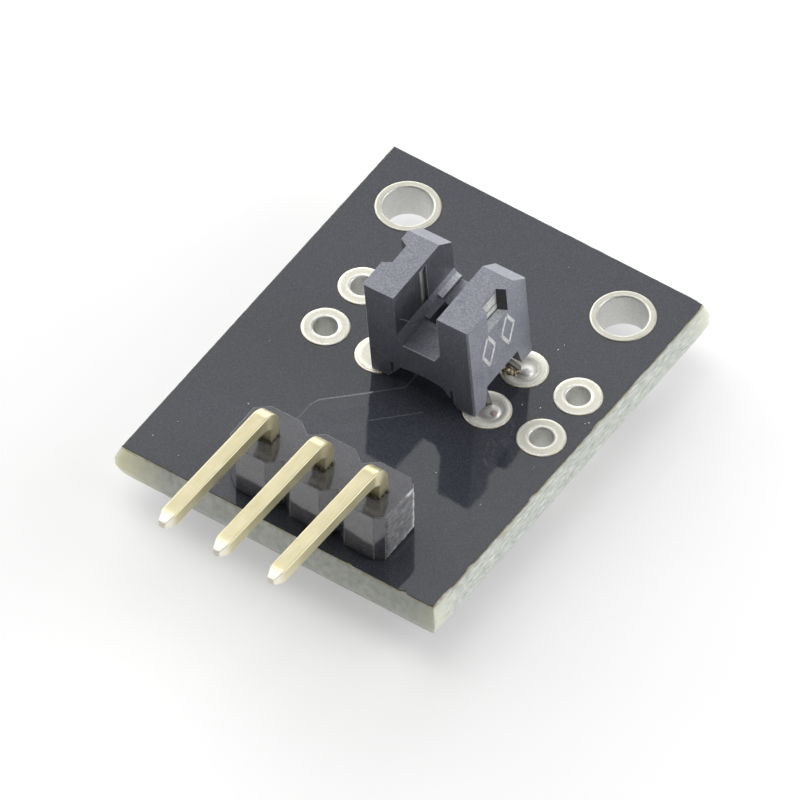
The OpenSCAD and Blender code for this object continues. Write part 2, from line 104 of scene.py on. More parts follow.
MASK_LOW, MASK_HIGH = low_high("solder_mask_top")
BOARD_TOP = MASK_HIGH.z
LAMINATE_LOW, LAMINATE_HIGH = low_high("board_laminate")
HEADER_ROW = [middle(f"header_hole_plating_{i}").xy for i in (1, 2, 3)]
LEAD_HOLES = [middle(f"lead_hole_plating_{i}").xy for i in (1, 2, 3, 4)]
SPARE_HOLES = [middle(f"spare_hole_plating_{i}").xy for i in (1, 2, 3, 4)]
MOUNT_HOLES = [middle(f"mounting_hole_plating_{i}").xy for i in (1, 2)]
STRIP_LOW, STRIP_HIGH = low_high("header_strip")
SEAT_Z = STRIP_LOW.z
STRIP_TOP = STRIP_HIGH.z
PIN_TIP_Y = low_high("header_pin_1")[0].y


def ring_radius(node):
    low, high = low_high(node)
    return (high.x - low.x) / 2


# Node materials

def scaled(colour, by):
    return tuple(by * c for c in colour)


class Look:
    """A node material or world in the making."""

    def __init__(self, name, kind=bpy.data.materials):
        self.owner = kind.new(name)
        self.owner.use_nodes = True
        self.tree = self.owner.node_tree

    def feed(self, socket, value):
        """Links another node's output to a socket, or sets it to a number, vector or colour."""
        if isinstance(value, bpy.types.NodeSocket):
            self.tree.links.new(value, socket)
        elif isinstance(value, tuple) and len(socket.default_value) == 4:
            socket.default_value = (*value, 1)
        else:
            socket.default_value = value

    def node(self, kind, inputs=None, **settings):
        """A new node with its settings and inputs, which are found by name or number."""
        node = self.tree.nodes.new("ShaderNode" + kind)
        for key, value in settings.items():
            setattr(node, key, value)
        for key, value in (inputs or {}).items():
            self.feed(node.inputs[key], value)
        return node

    def noise(self, grain, detail=3.0, stretch=(1, 1, 1), turn=(0, 0, 0), distortion=0.0):
        """A noise whose features are about as long as grain, in millimetres."""
        turn = tuple(math.radians(a) for a in turn)
        point = self.node("TexCoord").outputs["Object"]
        mapping = self.node("Mapping", {"Vector": point, "Scale": stretch, "Rotation": turn})
        inputs = {"Vector": mapping.outputs["Vector"], "Scale": 1 / (grain * MM), "Detail": detail}
        return self.node("TexNoise", {**inputs, "Distortion": distortion}).outputs["Fac"]

    def xyz(self):
        """The point on the object as three separate lengths in metres."""
        split = self.node("SeparateXYZ", {"Vector": self.node("TexCoord").outputs["Object"]})
        return split.outputs["X"], split.outputs["Y"], split.outputs["Z"]

    def layer(self, name):
        """A value kept on the mesh's points."""
        return self.node("Attribute", attribute_name=name).outputs["Fac"]

    def ramp(self, factor, *stops):
        """Colours along a factor, as (place, (r, g, b)) stops."""
        node = self.node("ValToRGB", {"Fac": factor})
        elements = node.color_ramp.elements
        while len(elements) < len(stops):
            elements.new(0.5)
        for element, (place, colour) in zip(elements, stops):
            element.position = place
            element.color = (*colour, 1)
        return node.outputs["Color"]

    def spread(self, factor, low, high, start=0.3, end=0.7, **settings):
        """The factor spread from low to high."""
        inputs = {"Value": factor, "From Min": start, "From Max": end, "To Min": low, "To Max": high}
        return self.node("MapRange", inputs, **settings).outputs["Result"]

    def along(self, length, low, high, start, end):
        """Spread from low to high between two lengths in millimetres."""
        return self.spread(length, low, high, start * MM, end * MM)

    def maths(self, operation, *values):
        return self.node("Math", dict(enumerate(values)), operation=operation).outputs["Value"]

    def times(self, first, second):
        return self.maths("MULTIPLY", first, second)

    def away(self, length, level):
        """How far a length is from a level in millimetres."""
        return self.maths("ABSOLUTE", self.maths("SUBTRACT", length, level * MM))

    def wander(self, factor, by):
        """A noise made to swing about nought."""
        return self.times(self.maths("SUBTRACT", factor, 0.5), by)

    def mix(self, factor, first, second):
        """A mix of two colours, each a socket or an (r, g, b)."""
        return self.node("Mix", {0: factor, 6: first, 7: second}, data_type="RGBA").outputs[2]

    def finish(self, colour, rough, bumps, **inputs):
        """The material, with (factor, height in millimetres) bumps, one on top of the other."""
        shader = self.tree.nodes["Principled BSDF"]
        for factor, height in bumps:
            node = self.node("Bump", {"Distance": height * MM, "Height": factor})
            if "Normal" in inputs:
                self.feed(node.inputs["Normal"], inputs["Normal"])
            inputs["Normal"] = node.outputs["Normal"]
        for key, value in {"Base Color": colour, "Roughness": rough, **inputs}.items():
            self.feed(shader.inputs[key], value)
        return self.owner


def mask_material():
    """Glossy black lacquer with a faint orange peel."""
    look = Look("solder_mask_black")
    mottle, grain = look.noise(0.9, 4), look.noise(0.06, 2)
    colour = look.ramp(mottle, (0.3, (0.038, 0.041, 0.052)), (0.7, (0.048, 0.052, 0.064)))
    speck = look.ramp(grain, (0.3, (0.027, 0.030, 0.041)), (0.7, (0.068, 0.073, 0.088)))
    colour = look.mix(look.times(grain, 1.4), colour, speck)
    grit = look.spread(look.noise(0.035, 2), 0.0, 0.5, 0.70, 0.76)
    colour = look.mix(grit, colour, (0.30, 0.31, 0.34))
    rough = look.spread(mottle, 0.03, 0.06)
    return look.finish(colour, rough, [(mottle, 0.002), (grain, 0.0006)], IOR=1.6)


def laminate_material():
    """Glass cloth in resin: grey-green, torn along the snapped ridge, with painted light at the
    corners.
    """
    look = Look("glass_epoxy_laminate")
    cloudy, fine, weave = look.noise(0.8), look.noise(0.05), look.noise(0.28, 4)
    plies = look.noise(0.11, 4, (0.22, 0.22, 1.5), distortion=0.4)
    x, y, z = look.xyz()
    cloth = look.ramp(cloudy, (0.3, (0.60, 0.62, 0.57)), (0.7, (0.72, 0.74, 0.69)))
    cloth = look.mix(look.spread(weave, 0.0, 0.7, 0.42, 0.68), cloth, (0.46, 0.49, 0.44))
    fibres = look.ramp(
        plies, (0.32, (0.38, 0.41, 0.37)), (0.45, (0.54, 0.57, 0.52)),
        (0.58, (0.64, 0.67, 0.62)), (0.70, (0.84, 0.87, 0.83)),
    )
    on_right = look.along(x, 0.0, 0.95, MASK_HIGH.x, MASK_HIGH.x + 0.05)
    colour = look.mix(on_right, cloth, fibres)
    colour = look.mix(look.spread(fine, 0.0, 0.6, 0.62, 0.72), colour, (0.80, 0.82, 0.79))
    middle_y = (LAMINATE_LOW.y + LAMINATE_HIGH.y) / 2
    half_y = LAMINATE_HIGH.y - middle_y
    corner_x = look.along(look.away(x, 0.5), 0.0, 1.0, LAMINATE_HIGH.x - 2.0, LAMINATE_HIGH.x - 0.2)
    corner_y = look.along(look.away(y, middle_y), 0.0, 1.0, half_y - 1.6, half_y - 0.25)
    # Painted light: near the corners the colour turns paler and warmer, standing in for light glowing
    # through the laminate, palest at the left corners.
    cream = look.mix(look.along(x, 0.0, 1.0, -1, 1), (1.0, 0.98, 0.72), (0.78, 0.79, 0.66))
    colour = look.mix(look.times(look.times(corner_x, corner_y), 0.95), colour, cream)
    height = look.maths("ADD", z, look.wander(cloudy, 0.10 * MM))
    skin = look.along(height, 0.0, 1.0, BOARD_TOP - 0.13, BOARD_TOP - 0.07)
    skin = look.times(skin, look.spread(weave, 0.1, 0.7, 0.35, 0.6))
    colour = look.mix(skin, colour, (0.50, 0.44, 0.24))
    inside = {"Weight": 0.5, "Radius": (1.0, 0.95, 0.7), "Scale": 0.9 * MM}
    return look.finish(
        colour, look.spread(fine, 0.45, 0.7), [(plies, 0.012), (weave, 0.010), (fine, 0.006)],
        IOR=1.5, **{f"Subsurface {key}": value for key, value in inside.items()},
    )


def banded_metal(name, stops, rough_dome, rough_rim, metallic=0.7):
    """Tin or solder that changes across a ring: each stop is (place in the layer "band", colour)."""
    look = Look(name)
    lumps, grain = look.noise(0.22, 4), look.noise(0.05)
    across = look.maths("ADD", look.layer("band"), look.wander(lumps, 0.2))
    spots = look.spread(grain, 0.0, 0.5, 0.5, 0.7)
    colour = look.mix(spots, look.ramp(across, *stops), (0.42, 0.41, 0.35))
    rough = look.spread(across, rough_dome, rough_rim, 0.4, 0.65)
    rough = look.maths("ADD", rough, look.times(grain, 0.1))
    return look.finish(colour, rough, [(lumps, 0.006), (grain, 0.001)], Metallic=metallic)


def ring_stops(gain, barrel):
    """A ring's bright rims of painted highlight round a dull beige fill, with an amber line where the
    mask starts.
    """
    shades = [
        (0.0, barrel), (0.06, (0.88, 0.88, 0.81)), (0.20, (0.82, 0.81, 0.73)),
        (0.36, (0.58, 0.57, 0.49)), (0.70, (0.61, 0.60, 0.51)), (0.86, (0.84, 0.84, 0.76)),
        (0.95, (0.78, 0.76, 0.65)), (1.0, (0.56, 0.47, 0.27)),
    ]
    return [(place, tuple(min(0.95, c) for c in scaled(colour, gain))) for place, colour in shades]


# A joint from its middle outwards: bright dome of painted highlight, dull hollow of painted shade,
# beige skin, pale rim of painted highlight
JOINT_LIGHT_SHADE_STOPS = [
    (0.0, (0.95, 0.95, 0.93)), (0.30, (0.94, 0.93, 0.89)), (0.44, (0.62, 0.62, 0.56)),
    (0.62, (0.64, 0.64, 0.58)), (0.72, (0.80, 0.80, 0.72)), (0.88, (0.90, 0.90, 0.82)),
    (0.96, (0.95, 0.95, 0.88)), (1.0, (0.86, 0.84, 0.74)),
]


def metal_material(name, dark, light, rough, lump=0.25, height=0.006, metallic=1.0):
    """A metal skin with slow lumps, fine grain and dull patches."""
    look = Look(name)
    lumps, grain = look.noise(lump), look.noise(lump / 6)
    dull = look.ramp(grain, (0.25, scaled(dark, 0.82)), (0.55, light))
    colour = look.mix(look.times(grain, 0.6), look.ramp(lumps, (0.3, dark), (0.6, light)), dull)
    bumps = [(lumps, height), (grain, height / 8)]
    return look.finish(colour, look.spread(grain, *rough), bumps, Metallic=metallic)


def pin_material():
    """Pale gold flash on brass: streaked along the pin, with painted shade low down and a painted
    highlight near its tip.
    """
    look = Look("pale_gold_flash")
    streaks, patches = look.noise(0.05, 3, (1, 0.07, 1)), look.noise(0.7)
    tint = look.ramp(patches, (0.3, (0.65, 0.59, 0.36)), (0.65, (0.735, 0.67, 0.44)))
    streaked = look.ramp(streaks, (0.3, (0.61, 0.545, 0.325)), (0.65, (0.78, 0.725, 0.505)))
    colour = look.mix(look.times(streaks, 0.6), tint, streaked)
    _, reach, height = look.xyz()
    # Painted shade: darker from the board up to a little above the strip, standing in for the dark
    # board mirrored in the pin.
    low_painted_shade = look.along(height, 0.6, 0.0, STRIP_TOP + 0.02, STRIP_TOP + 0.35)
    low_painted_shade = look.times(low_painted_shade, look.along(height, 0.0, 1.0, 0.0, BOARD_TOP))
    colour = look.mix(low_painted_shade, colour, (0.34, 0.32, 0.25))
    # Painted highlight: paler and whiter towards the tip.
    tip_painted_highlight = look.along(reach, 0.75, 0.0, PIN_TIP_Y + 0.25, PIN_TIP_Y + 0.55)
    colour = look.mix(tip_painted_highlight, colour, (0.90, 0.88, 0.82))
    rough = look.spread(streaks, 0.28, 0.40)
    return look.finish(colour, rough, [(patches, 0.003), (streaks, 0.0005)], Metallic=0.72)


def plastic_material(name, dark, light, rough, ior, pit, patch=0.8, scratch=0.0, fade=None):
    """A moulded plastic with a fine eroded grain pit high, patches patch wide and faint scratches.

    A fade (start, end, colour) turns it towards another colour along Y, in millimetres.
    """
    look = Look(name)
    slow, grain = look.noise(patch, 4), look.noise(0.07, 4)
    specks = look.ramp(grain, (0.36, scaled(dark, 0.64)), (0.64, scaled(light, 1.3)))
    colour = look.mix(grain, look.ramp(slow, (0.32, dark), (0.66, light)), specks)
    if scratch:
        pale = tuple(min(0.6, 1.7 * c + 0.03) for c in light)
        for turn in ((35, 20, 0), (-28, 15, 40)):
            lines = look.noise(0.035, 2, (1, 1, 0.05), turn)
            colour = look.mix(look.spread(lines, 0.0, scratch, 0.60, 0.70), colour, pale)
    if fade:
        start, end, other = fade
        colour = look.mix(look.along(look.xyz()[1], 0.0, 0.8, start, end), colour, other)
    return look.finish(colour, look.spread(grain, *rough), [(slow, 0.003), (grain, pit)], IOR=ior)


def whitened_material():
    """Plastic gone pale where it was snapped, palest along the torn rim."""
    look = Look("snapped_plastic")
    tear = look.noise(0.16, 4, (1, 0.5, 1.4), (40, 0, 0))
    body = look.ramp(
        tear, (0.35, (0.11, 0.11, 0.12)), (0.52, (0.15, 0.15, 0.16)), (0.68, (0.28, 0.29, 0.30))
    )
    colour = look.mix(look.layer("rim"), body, (0.85, 0.86, 0.87))
    return look.finish(colour, look.spread(tear, 0.5, 0.8), [(tear, 0.02)])


def cloudy_material(name, grain, detail, stops, rough, height, bands=(), **inputs):
    """A skin whose colour drifts, crossed by bands of painted shade, each (height over the board, half
    width, colour).
    """
    look = Look(name)
    cloud = look.noise(grain, detail)
    colour = look.ramp(cloud, *stops)
    for level, half, shade in bands:
        away = look.away(look.xyz()[2], BOARD_TOP + level)
        colour = look.mix(look.along(away, 1.0, 0.0, 0.6 * half, half), colour, shade)
    rough = look.spread(cloud, *rough) if isinstance(rough, tuple) else rough
    return look.finish(colour, rough, [(cloud, height)], **inputs)


MASK = mask_material()
TRACK_SLOPE = plastic_material(
    "track_slope", (0.075, 0.077, 0.088), (0.10, 0.102, 0.115), (0.10, 0.2), 1.6, 0.001
)
LAMINATE = laminate_material()
TIN = metal_material("tin_coat", (0.60, 0.59, 0.52), (0.74, 0.73, 0.66), (0.40, 0.52), metallic=0.75)
SOLDER = metal_material(
    "solder", (0.52, 0.51, 0.46), (0.76, 0.75, 0.70), (0.24, 0.40), 0.22, 0.010, 0.75
)
# Painted light and shade: the pad rings get a lighter copy of the tin's colours and the mount rings a
# darker copy.
PAD_RING_LIT = banded_metal("tinned_pad_ring_painted_lighter", ring_stops(1.16, (0.70, 0.70, 0.67)), 0.38, 0.44)
MOUNT_RING_SHADED = banded_metal("tinned_mount_ring_painted_darker", ring_stops(0.92, (0.82, 0.82, 0.81)), 0.38, 0.44)
# Painted light and shade: the joints are bright on the dome and at the rim, and dark in the hollow
# between.
JOINT = banded_metal("solder_joint", JOINT_LIGHT_SHADE_STOPS, 0.32, 0.46, 0.2)
# Painted shade: the leads are near black, standing in for the shade under the housing's feet.
LEAD = metal_material(
    "tinned_lead_painted_dark", (0.10, 0.095, 0.085), (0.20, 0.195, 0.18), (0.45, 0.6), 0.2, 0.004, 0.5
)
PIN = pin_material()
PIN_END = metal_material(
    "cut_brass", (0.92, 0.82, 0.64), (0.98, 0.93, 0.82), (0.5, 0.65), 0.12, 0.008, 0.15
)
STRIP = plastic_material(
    "strip_plastic", (0.060, 0.061, 0.072), (0.082, 0.083, 0.097), (0.07, 0.15), 1.75, 0.0012, 0.5
)
# Painted light: the strip's front faces get this lighter copy of its plastic.
STRIP_FRONT_LIT = plastic_material(
    "strip_front_painted_light", (0.090, 0.091, 0.100), (0.125, 0.126, 0.138), (0.08, 0.17), 1.72, 0.0012, 0.5
)
# Paler edges: partly wear, partly painted highlight along the strip's rounded edges.
STRIP_EDGE = plastic_material(
    "strip_edge_wear_and_highlight", (0.07, 0.07, 0.078), (0.22, 0.22, 0.23), (0.3, 0.5), 1.5, 0.004, 0.12
)
SENSOR_Y = (LEAD_HOLES[0].y + LEAD_HOLES[1].y) / 2
HOUSING_SKIN = (
    (0.189, 0.196, 0.237), (0.270, 0.277, 0.324), (0.36, 0.5), 1.5, 0.005, 0.38, 0.12
)
HOUSING = plastic_material("housing_plastic", *HOUSING_SKIN)
# Painted shade: the housing's right side turns darker towards its rear.
HOUSING_RIGHT_SHADED = plastic_material(
    "housing_right_painted_shade", *HOUSING_SKIN, (SENSOR_Y + 1.3, SENSOR_Y + 2.2, (0.13, 0.135, 0.16))
)
# Paler edges: partly wear, partly painted highlight along the housing's rounded edges.
HOUSING_EDGE = plastic_material(
    "housing_edge_wear_and_highlight", (0.22, 0.225, 0.26), (0.42, 0.425, 0.455), (0.4, 0.55), 1.5, 0.004, 0.25
)
# Painted shade: the slot's inner walls get this much darker copy of the housing plastic.
SHADED_SLOT_WALL = plastic_material(
    "slot_wall", (0.048, 0.049, 0.060), (0.115, 0.118, 0.138), (0.28, 0.42), 1.45, 0.003, 0.45, 0.4
)
# Painted light: the ledges in the slot and at the pockets get this much paler copy of the housing
# plastic.
LIT_LEDGE = plastic_material(
    "ledge_painted_light", (0.49, 0.51, 0.55), (0.64, 0.66, 0.70), (0.35, 0.5), 1.5, 0.004, 0.3
)
# Painted shade: the pockets' front-facing walls are near black.
SHADED_RECESS = plastic_material(
    "recess_painted_shade", (0.05, 0.05, 0.056), (0.075, 0.075, 0.083), (0.4, 0.6), 1.3, 0.004
)
# Pale edge lines: partly wear, partly painted highlight; the slits' lips are painted light.
WORN_AND_HIGHLIT = plastic_material(
    "worn_plastic_and_painted_highlight", (0.34, 0.345, 0.37), (0.56, 0.565, 0.59), (0.4, 0.6), 1.45, 0.004, 0.12
)
CERAMIC = plastic_material(
    "resistor_glaze", (0.012, 0.012, 0.014), (0.022, 0.022, 0.025), (0.12, 0.25), 1.55, 0.001
)
# Dark brown, for the blobs round the pins' feet.
FOOT_DARK = plastic_material(
    "pin_foot_dark", (0.022, 0.018, 0.012), (0.10, 0.085, 0.055), (0.4, 0.6), 1.4, 0.004, 0.12
)
# The resin carries dark bands of painted shade at set heights over the board.
RESIN = cloudy_material(
    "package_resin", 0.4, 3, [(0.3, (0.54, 0.55, 0.51)), (0.7, (0.66, 0.67, 0.62))],
    (0.2, 0.35), 0.004, RESIN_SHADE_BANDS, IOR=1.55,
)
# Painted shade: a darker, smoky copy of the resin for the faces that look into the slot.
SMOKY = cloudy_material(
    "smoky_resin_painted_darker", 0.25, 3, [(0.3, (0.44, 0.48, 0.44)), (0.7, (0.62, 0.66, 0.60))],
    (0.12, 0.25), 0.003, IOR=1.55,
)
SNAPPED = whitened_material()
INK = cloudy_material(
    "marking_ink", 0.12, 4,
    [(0.3, (0.42, 0.43, 0.44)), (0.5, (0.66, 0.67, 0.67)), (0.7, (0.74, 0.75, 0.75))],
    (0.5, 0.7), 0.003,
)
FLUX = cloudy_material(
    "flux_residue", 0.08, 4,
    [(0.35, (0.12, 0.07, 0.04)), (0.48, (0.44, 0.35, 0.22)), (0.62, (0.78, 0.72, 0.57))],
    (0.15, 0.4), 0.01,
)
COPPER = metal_material(
    "copper_blush", (0.42, 0.28, 0.27), (0.68, 0.54, 0.52), (0.3, 0.45), 0.06, 0.004, 0.4
)
DUST = cloudy_material(
    "dust", 0.03, 3, [(0.3, (0.45, 0.46, 0.5)), (0.7, (0.72, 0.72, 0.74))], 0.8, 0.005
)

SLOT_MATERIALS = {
    "laminate": LAMINATE, "solder_mask": MASK, "tin_plating": TIN, "solder": SOLDER,
    "header_plastic": STRIP, "pin_metal": PIN, "housing_plastic": HOUSING,
    "package_resin": RESIN, "lead_metal": LEAD, "resistor_body": CERAMIC,
}


# Making pieces

def finish_piece(name, bm, slot, materials=None, stands_for=(), smooth=40, bevel=0.0, bevel_material=0):
    """Turns a mesh in millimetres into a piece of the object, with an optional edge bevel."""
    bmesh.ops.recalc_face_normals(bm, faces=bm.faces)
    bmesh.ops.scale(bm, vec=(MM, MM, MM), verts=bm.verts)
    mesh = bpy.data.meshes.new(name)
    bm.to_mesh(mesh)
    bm.free()
    for material in materials or [SLOT_MATERIALS[slot]]:
        mesh.materials.append(material)
    for polygon in mesh.polygons:
        polygon.use_smooth = True
    mesh.set_sharp_from_angle(angle=math.radians(smooth))
    piece = bpy.data.objects.new(name, mesh)
    scene.collection.objects.link(piece)
    if bevel:
        bevel_edges(piece, bevel, smooth, bevel_material)
    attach(piece, "root")
    if stands_for:
        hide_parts(*stands_for)


def bevel_edges(piece, width, angle, material):
    """Rounds the edges sharper than an angle, and gives the new faces a material of the piece."""
    modifier = piece.modifiers.new("edges", "BEVEL")
    modifier.width = width * MM
    modifier.segments = 2
    modifier.limit_method = "ANGLE"
    modifier.angle_limit = math.radians(angle)
    modifier.harden_normals = True
    modifier.material = material
    graph = bpy.context.evaluated_depsgraph_get()
    mesh = bpy.data.meshes.new_from_object(piece.evaluated_get(graph))
    piece.modifiers.clear()
    piece.data = mesh


# Points nearer than this are one, faces within this angle in radians are one flat face, and
# heights within this are one level
WELD_GAP = 1e-4
FLAT_ANGLE = 0.01
SAME_LEVEL = 1e-6


def node_mesh(node):
    """A copy of a node's mesh in millimetres, with its flat faces whole."""
    bm = bmesh.new()
    bm.from_mesh(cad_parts[node].data)
    bmesh.ops.scale(bm, vec=(1 / MM,) * 3, verts=bm.verts)
    bmesh.ops.remove_doubles(bm, verts=bm.verts, dist=WELD_GAP)
    bmesh.ops.dissolve_limit(bm, angle_limit=FLAT_ANGLE, verts=bm.verts, edges=bm.edges)
    return bm


def loop_of(bm, points):
    """Adds a closed loop of points and gives its vertices."""
    return [bm.verts.new(p) for p in points]


def pairs(items):
    """Each item with the next one, and the last with the first."""
    return zip(items, items[1:] + items[:1])


def bridge(bm, first, second):
    """Quads between two closed loops of the same length."""
    for (a, b), (c, d) in zip(pairs(first), pairs(second)):
        bm.faces.new((a, b, d, c))


def skin(bm, loops, closed=False, capped=False):
    """Quads from loop to loop, back to the first one or capped at both ends."""
    for first, second in pairs(loops) if closed else zip(loops, loops[1:]):
        bridge(bm, first, second)
    if capped:
        bm.faces.new(loops[0])
        bm.faces.new(loops[-1][::-1])


def fan(bm, pole, loop):
    """Triangles from a closed loop to a pole."""
    for a, b in pairs(loop):
        bm.faces.new((pole, a, b))


def lump(x, y, z):
    """Smooth noise at a point, about from -1 to 1."""
    return noise.noise(Vector((x, y, z)))


def circle(centre, radius, steps):
    """Plan points round a circle."""
    turn = 2 * math.pi / steps
    return [
        (centre.x + radius * math.cos(i * turn), centre.y + radius * math.sin(i * turn))
        for i in range(steps)
    ]


def turned(bm, centre, profile, steps, wobble, grain, inner, outer):
    """Loops round an axis, one for each (radius, z), with slow lumps up to wobble high.

    A radius of nought gives one point. Each point's layer "band" runs from 0 at the inner radius
    to 1 at the outer one.
    """
    band = bm.verts.layers.float.new("band")
    loops = []
    for radius, z in profile:
        points = [
            (x, y, z + wobble * noise.noise(Vector((x, y, z)) / grain))
            for x, y in circle(centre, radius, steps)
        ]
        loops.append(loop_of(bm, points if radius else [(centre.x, centre.y, z)]))
        for vert in loops[-1]:
            vert[band] = max(0.0, min(1.0, (radius - inner) / (outer - inner)))
    return loops


# The ways into the board from its front, right, back and left side
INWARD = [Vector((0, 1)), Vector((-1, 0)), Vector((0, -1)), Vector((1, 0))]


def inward(side, k):
    """The way in from point k of a side, slanted where that is its first corner."""
    return INWARD[side] if k else (INWARD[side] + INWARD[side - 1]) * 0.7


def rectangle(low, high, margin=0.0):
    """The corners of a box in plan, pushed out by a margin, from the front left one round."""
    x0, y0, x1, y1 = low.x - margin, low.y - margin, high.x + margin, high.y + margin
    return [Vector(corner) for corner in ((x0, y0), (x1, y0), (x1, y1), (x0, y1))]


def ragged_outline(low, high, step, depths, chips, seed):
    """Points round a rectangle whose sides are nibbled inwards by up to their depths.

    The sides are front, right, back and left. A chip is (x, y, radius, depth): it bites inwards
    where the outline passes near that point.
    """
    corners = rectangle(low, high)
    middle_point = (corners[0] + corners[2]) / 2
    points = []
    for i, (corner, after) in enumerate(pairs(corners)):
        count = round((after - corner).length / step)
        for k in range(count):
            p = corner + (after - corner) * (k / count)
            nibble = 0.5 + 0.5 * lump(p.x / 0.45, p.y / 0.45, seed)
            fine = 0.5 + 0.5 * lump(p.x / 0.11, p.y / 0.11, seed + 5)
            p = p + inward(i, k) * (depths[i] * (0.75 * nibble + 0.25 * fine))
            for x, y, radius, depth in chips:
                gap = (p - Vector((x, y))).length / radius
                if gap < 1:
                    towards = INWARD[i] if k else (middle_point - corner).normalized()
                    p = p + towards * depth * (1 - gap * gap) * (0.85 + 0.3 * fine)
            points.append(p)
    return points


def upright(bm, outline, low, high):
    """An upright wall along a closed outline in plan."""
    bridge(bm, *[loop_of(bm, [(p[0], p[1], z) for p in outline]) for z in (low, high)])


def fill_level(bm, height):
    """Triangles between the open loops at a height."""
    edges = [
        e for e in bm.edges
        if len(e.link_faces) < 2 and all(abs(v.co.z - height) < SAME_LEVEL for v in e.verts)
    ]
    bmesh.ops.triangle_fill(bm, use_beauty=True, use_dissolve=False, edges=edges)


# The board

HOLE_STEPS = 72
# Every plated hole: its middle, its radius and its ring's radius
HOLES = [
    (centre, hole_r, ring_radius(f"{kind}_hole_plating_1"))
    for kind, centres, hole_r in (
        ("mounting", MOUNT_HOLES, MOUNT_HOLE_R), ("lead", LEAD_HOLES, PAD_HOLE_R),
        ("spare", SPARE_HOLES, PAD_HOLE_R), ("header", HEADER_ROW, HEADER_HOLE_R),
    )
    for centre in centres
]
# Chips in the top mask along the scored edges, the longest behind the right front corner
MASK_CHIPS = [
    (7.3, -15.75, 0.72, 0.10), (7.3, -16.4, 0.22, 0.0), (5.95, -16.4, 0.14, 0.09),
    (7.3, -13.9, 0.30, 0.06), (7.3, -9.6, 0.30, 0.06), (7.3, -5.1, 0.4, 0.05),
    (7.3, 2.3, 0.30, 0.05), (3.4, -16.4, 0.12, 0.04),
]
# The bottom mask's corners are worn round
UNDER_CHIPS = [(x, y, 0.4, 0.14) for x in (-7.3, 7.3) for y in (-16.4, 2.3)]
# How deep the masks' front, right, back and left edges are nibbled (below zero they stand out)
MASK_NIBBLES = (-0.03, -0.06, 0.03, 0.035)
UNDER_NIBBLES = (0.16, 0.16, 0.16, 0.16)
NIBBLE_SPACING = 0.05


def mask_sheet(name, node, nibbles, chips, openings, seed):
    """A mask with ragged edges, open round the rings and where further openings are given."""
    low, high = (corner.z for corner in low_high(node))
    outlines = [ragged_outline(MASK_LOW, MASK_HIGH, NIBBLE_SPACING, nibbles, chips, seed)]
    outlines += [circle(centre, ring_r + MASK_GAP, HOLE_STEPS) for centre, _, ring_r in HOLES]
    bm = bmesh.new()
    for outline in outlines + openings:
        upright(bm, outline, low, high)
    for height in (low, high):
        fill_level(bm, height)
    finish_piece(name, bm, "solder_mask", stands_for=(node,), smooth=50)


# The laminate's faces, how far its edge reaches past the masks, how thick its snapped ridge is,
# and the steps down and along that edge
LAMINATE_TOP = BOARD_TOP - MASK_THICKNESS
LAMINATE_BOTTOM = MASK_THICKNESS
EDGE_REACH = LAMINATE_HIGH.x - MASK_HIGH.x
RIDGE_THICKNESS = 0.5
EDGE_STEPS = 9
EDGE_SPACING = 0.085


def laminate_profile():
    """(outward reach, z) down the board's edge: upper score, snapped ridge, lower score."""
    top, bottom, reach, steps = LAMINATE_TOP, LAMINATE_BOTTOM, EDGE_REACH, EDGE_STEPS
    ridge_high = top - (top - bottom - RIDGE_THICKNESS) / 2
    ridge_low = ridge_high - RIDGE_THICKNESS
    upper = [(reach * k / steps, top + (ridge_high - top) * k / steps) for k in range(steps)]
    ridge = [(reach, ridge_high + (ridge_low - ridge_high) * k / steps) for k in range(steps)]
    lower = [
        (reach * (1 - k / steps), ridge_low + (bottom - ridge_low) * k / steps)
        for k in range(steps + 1)
    ]
    return upper + ridge + lower


# How torn the snapped ridge is along the front, right, back and left edges
RIDGE_TEAR = (0.25, 1.0, 0.8, 0.5)
# How far the front, right, back and left edges stand out past the plain size
EDGE_SHIFT = (0.05, 0.08, 0.0, 0.03)


def laminate_roughness(side, along, span, reach, z):
    """How far a point of the board's edge is pulled in (below zero) or stands out."""
    ridge = max(0.0, min(1.0, (reach / EDGE_REACH - 0.55) / 0.45))
    shift = 31.7 * side
    streak = lump(along / 0.55 + shift, z / 0.07, 0.0)
    tuft = lump(along / 0.14 + shift, z / 0.05, 4.0)
    tear = lump(along / 1.1 + shift, z / 0.2, 9.0)
    machined = lump(along / 0.9 + shift, z / 0.12, 2.0)
    rough = RIDGE_TEAR[side] * (0.05 * streak + 0.035 * tuft + 0.05 * tear - 0.03)
    to_corner = min(along, span - along) / 0.4
    rounding = -0.02 * max(0.0, 1 - to_corner) ** 2
    return ridge * rough + (1 - ridge) * 0.008 * machined + rounding + EDGE_SHIFT[side]


def laminate_loop(reach, z):
    """Points round the board's rough edge at one reach and height."""
    points = []
    for side, (a, b) in enumerate(pairs(rectangle(MASK_LOW, MASK_HIGH, reach))):
        span = MASK_HIGH[side % 2] - MASK_LOW[side % 2]
        count = round(span / EDGE_SPACING)
        for k in range(count):
            t = k / count
            push = laminate_roughness(side, t * span, span, reach, z)
            p = a.lerp(b, t) - inward(side, k) * push
            points.append((p.x, p.y, z))
    return points


def laminate_body():
    bm = bmesh.new()
    skin(bm, [loop_of(bm, laminate_loop(reach, z)) for reach, z in laminate_profile()])
    for centre, hole_r, _ in HOLES:
        wall = circle(centre, hole_r + MASK_THICKNESS, HOLE_STEPS)
        upright(bm, wall, LAMINATE_BOTTOM, LAMINATE_TOP)
    for height in (LAMINATE_TOP, LAMINATE_BOTTOM):
        fill_level(bm, height)
    finish_piece("laminate_body", bm, "laminate", stands_for=("board_laminate",), smooth=60)


# How high the tin coat is domed, how far down the barrel it rolls over, and its ring's steps
TIN_DOME = 0.022
TIN_ROLL = 0.13
RING_STEPS = 96
# Lumps in tin and in solder: how high they are and how far apart
TIN_LUMPS = (0.010, 0.4)
SOLDER_LUMPS = (0.009, 0.3)


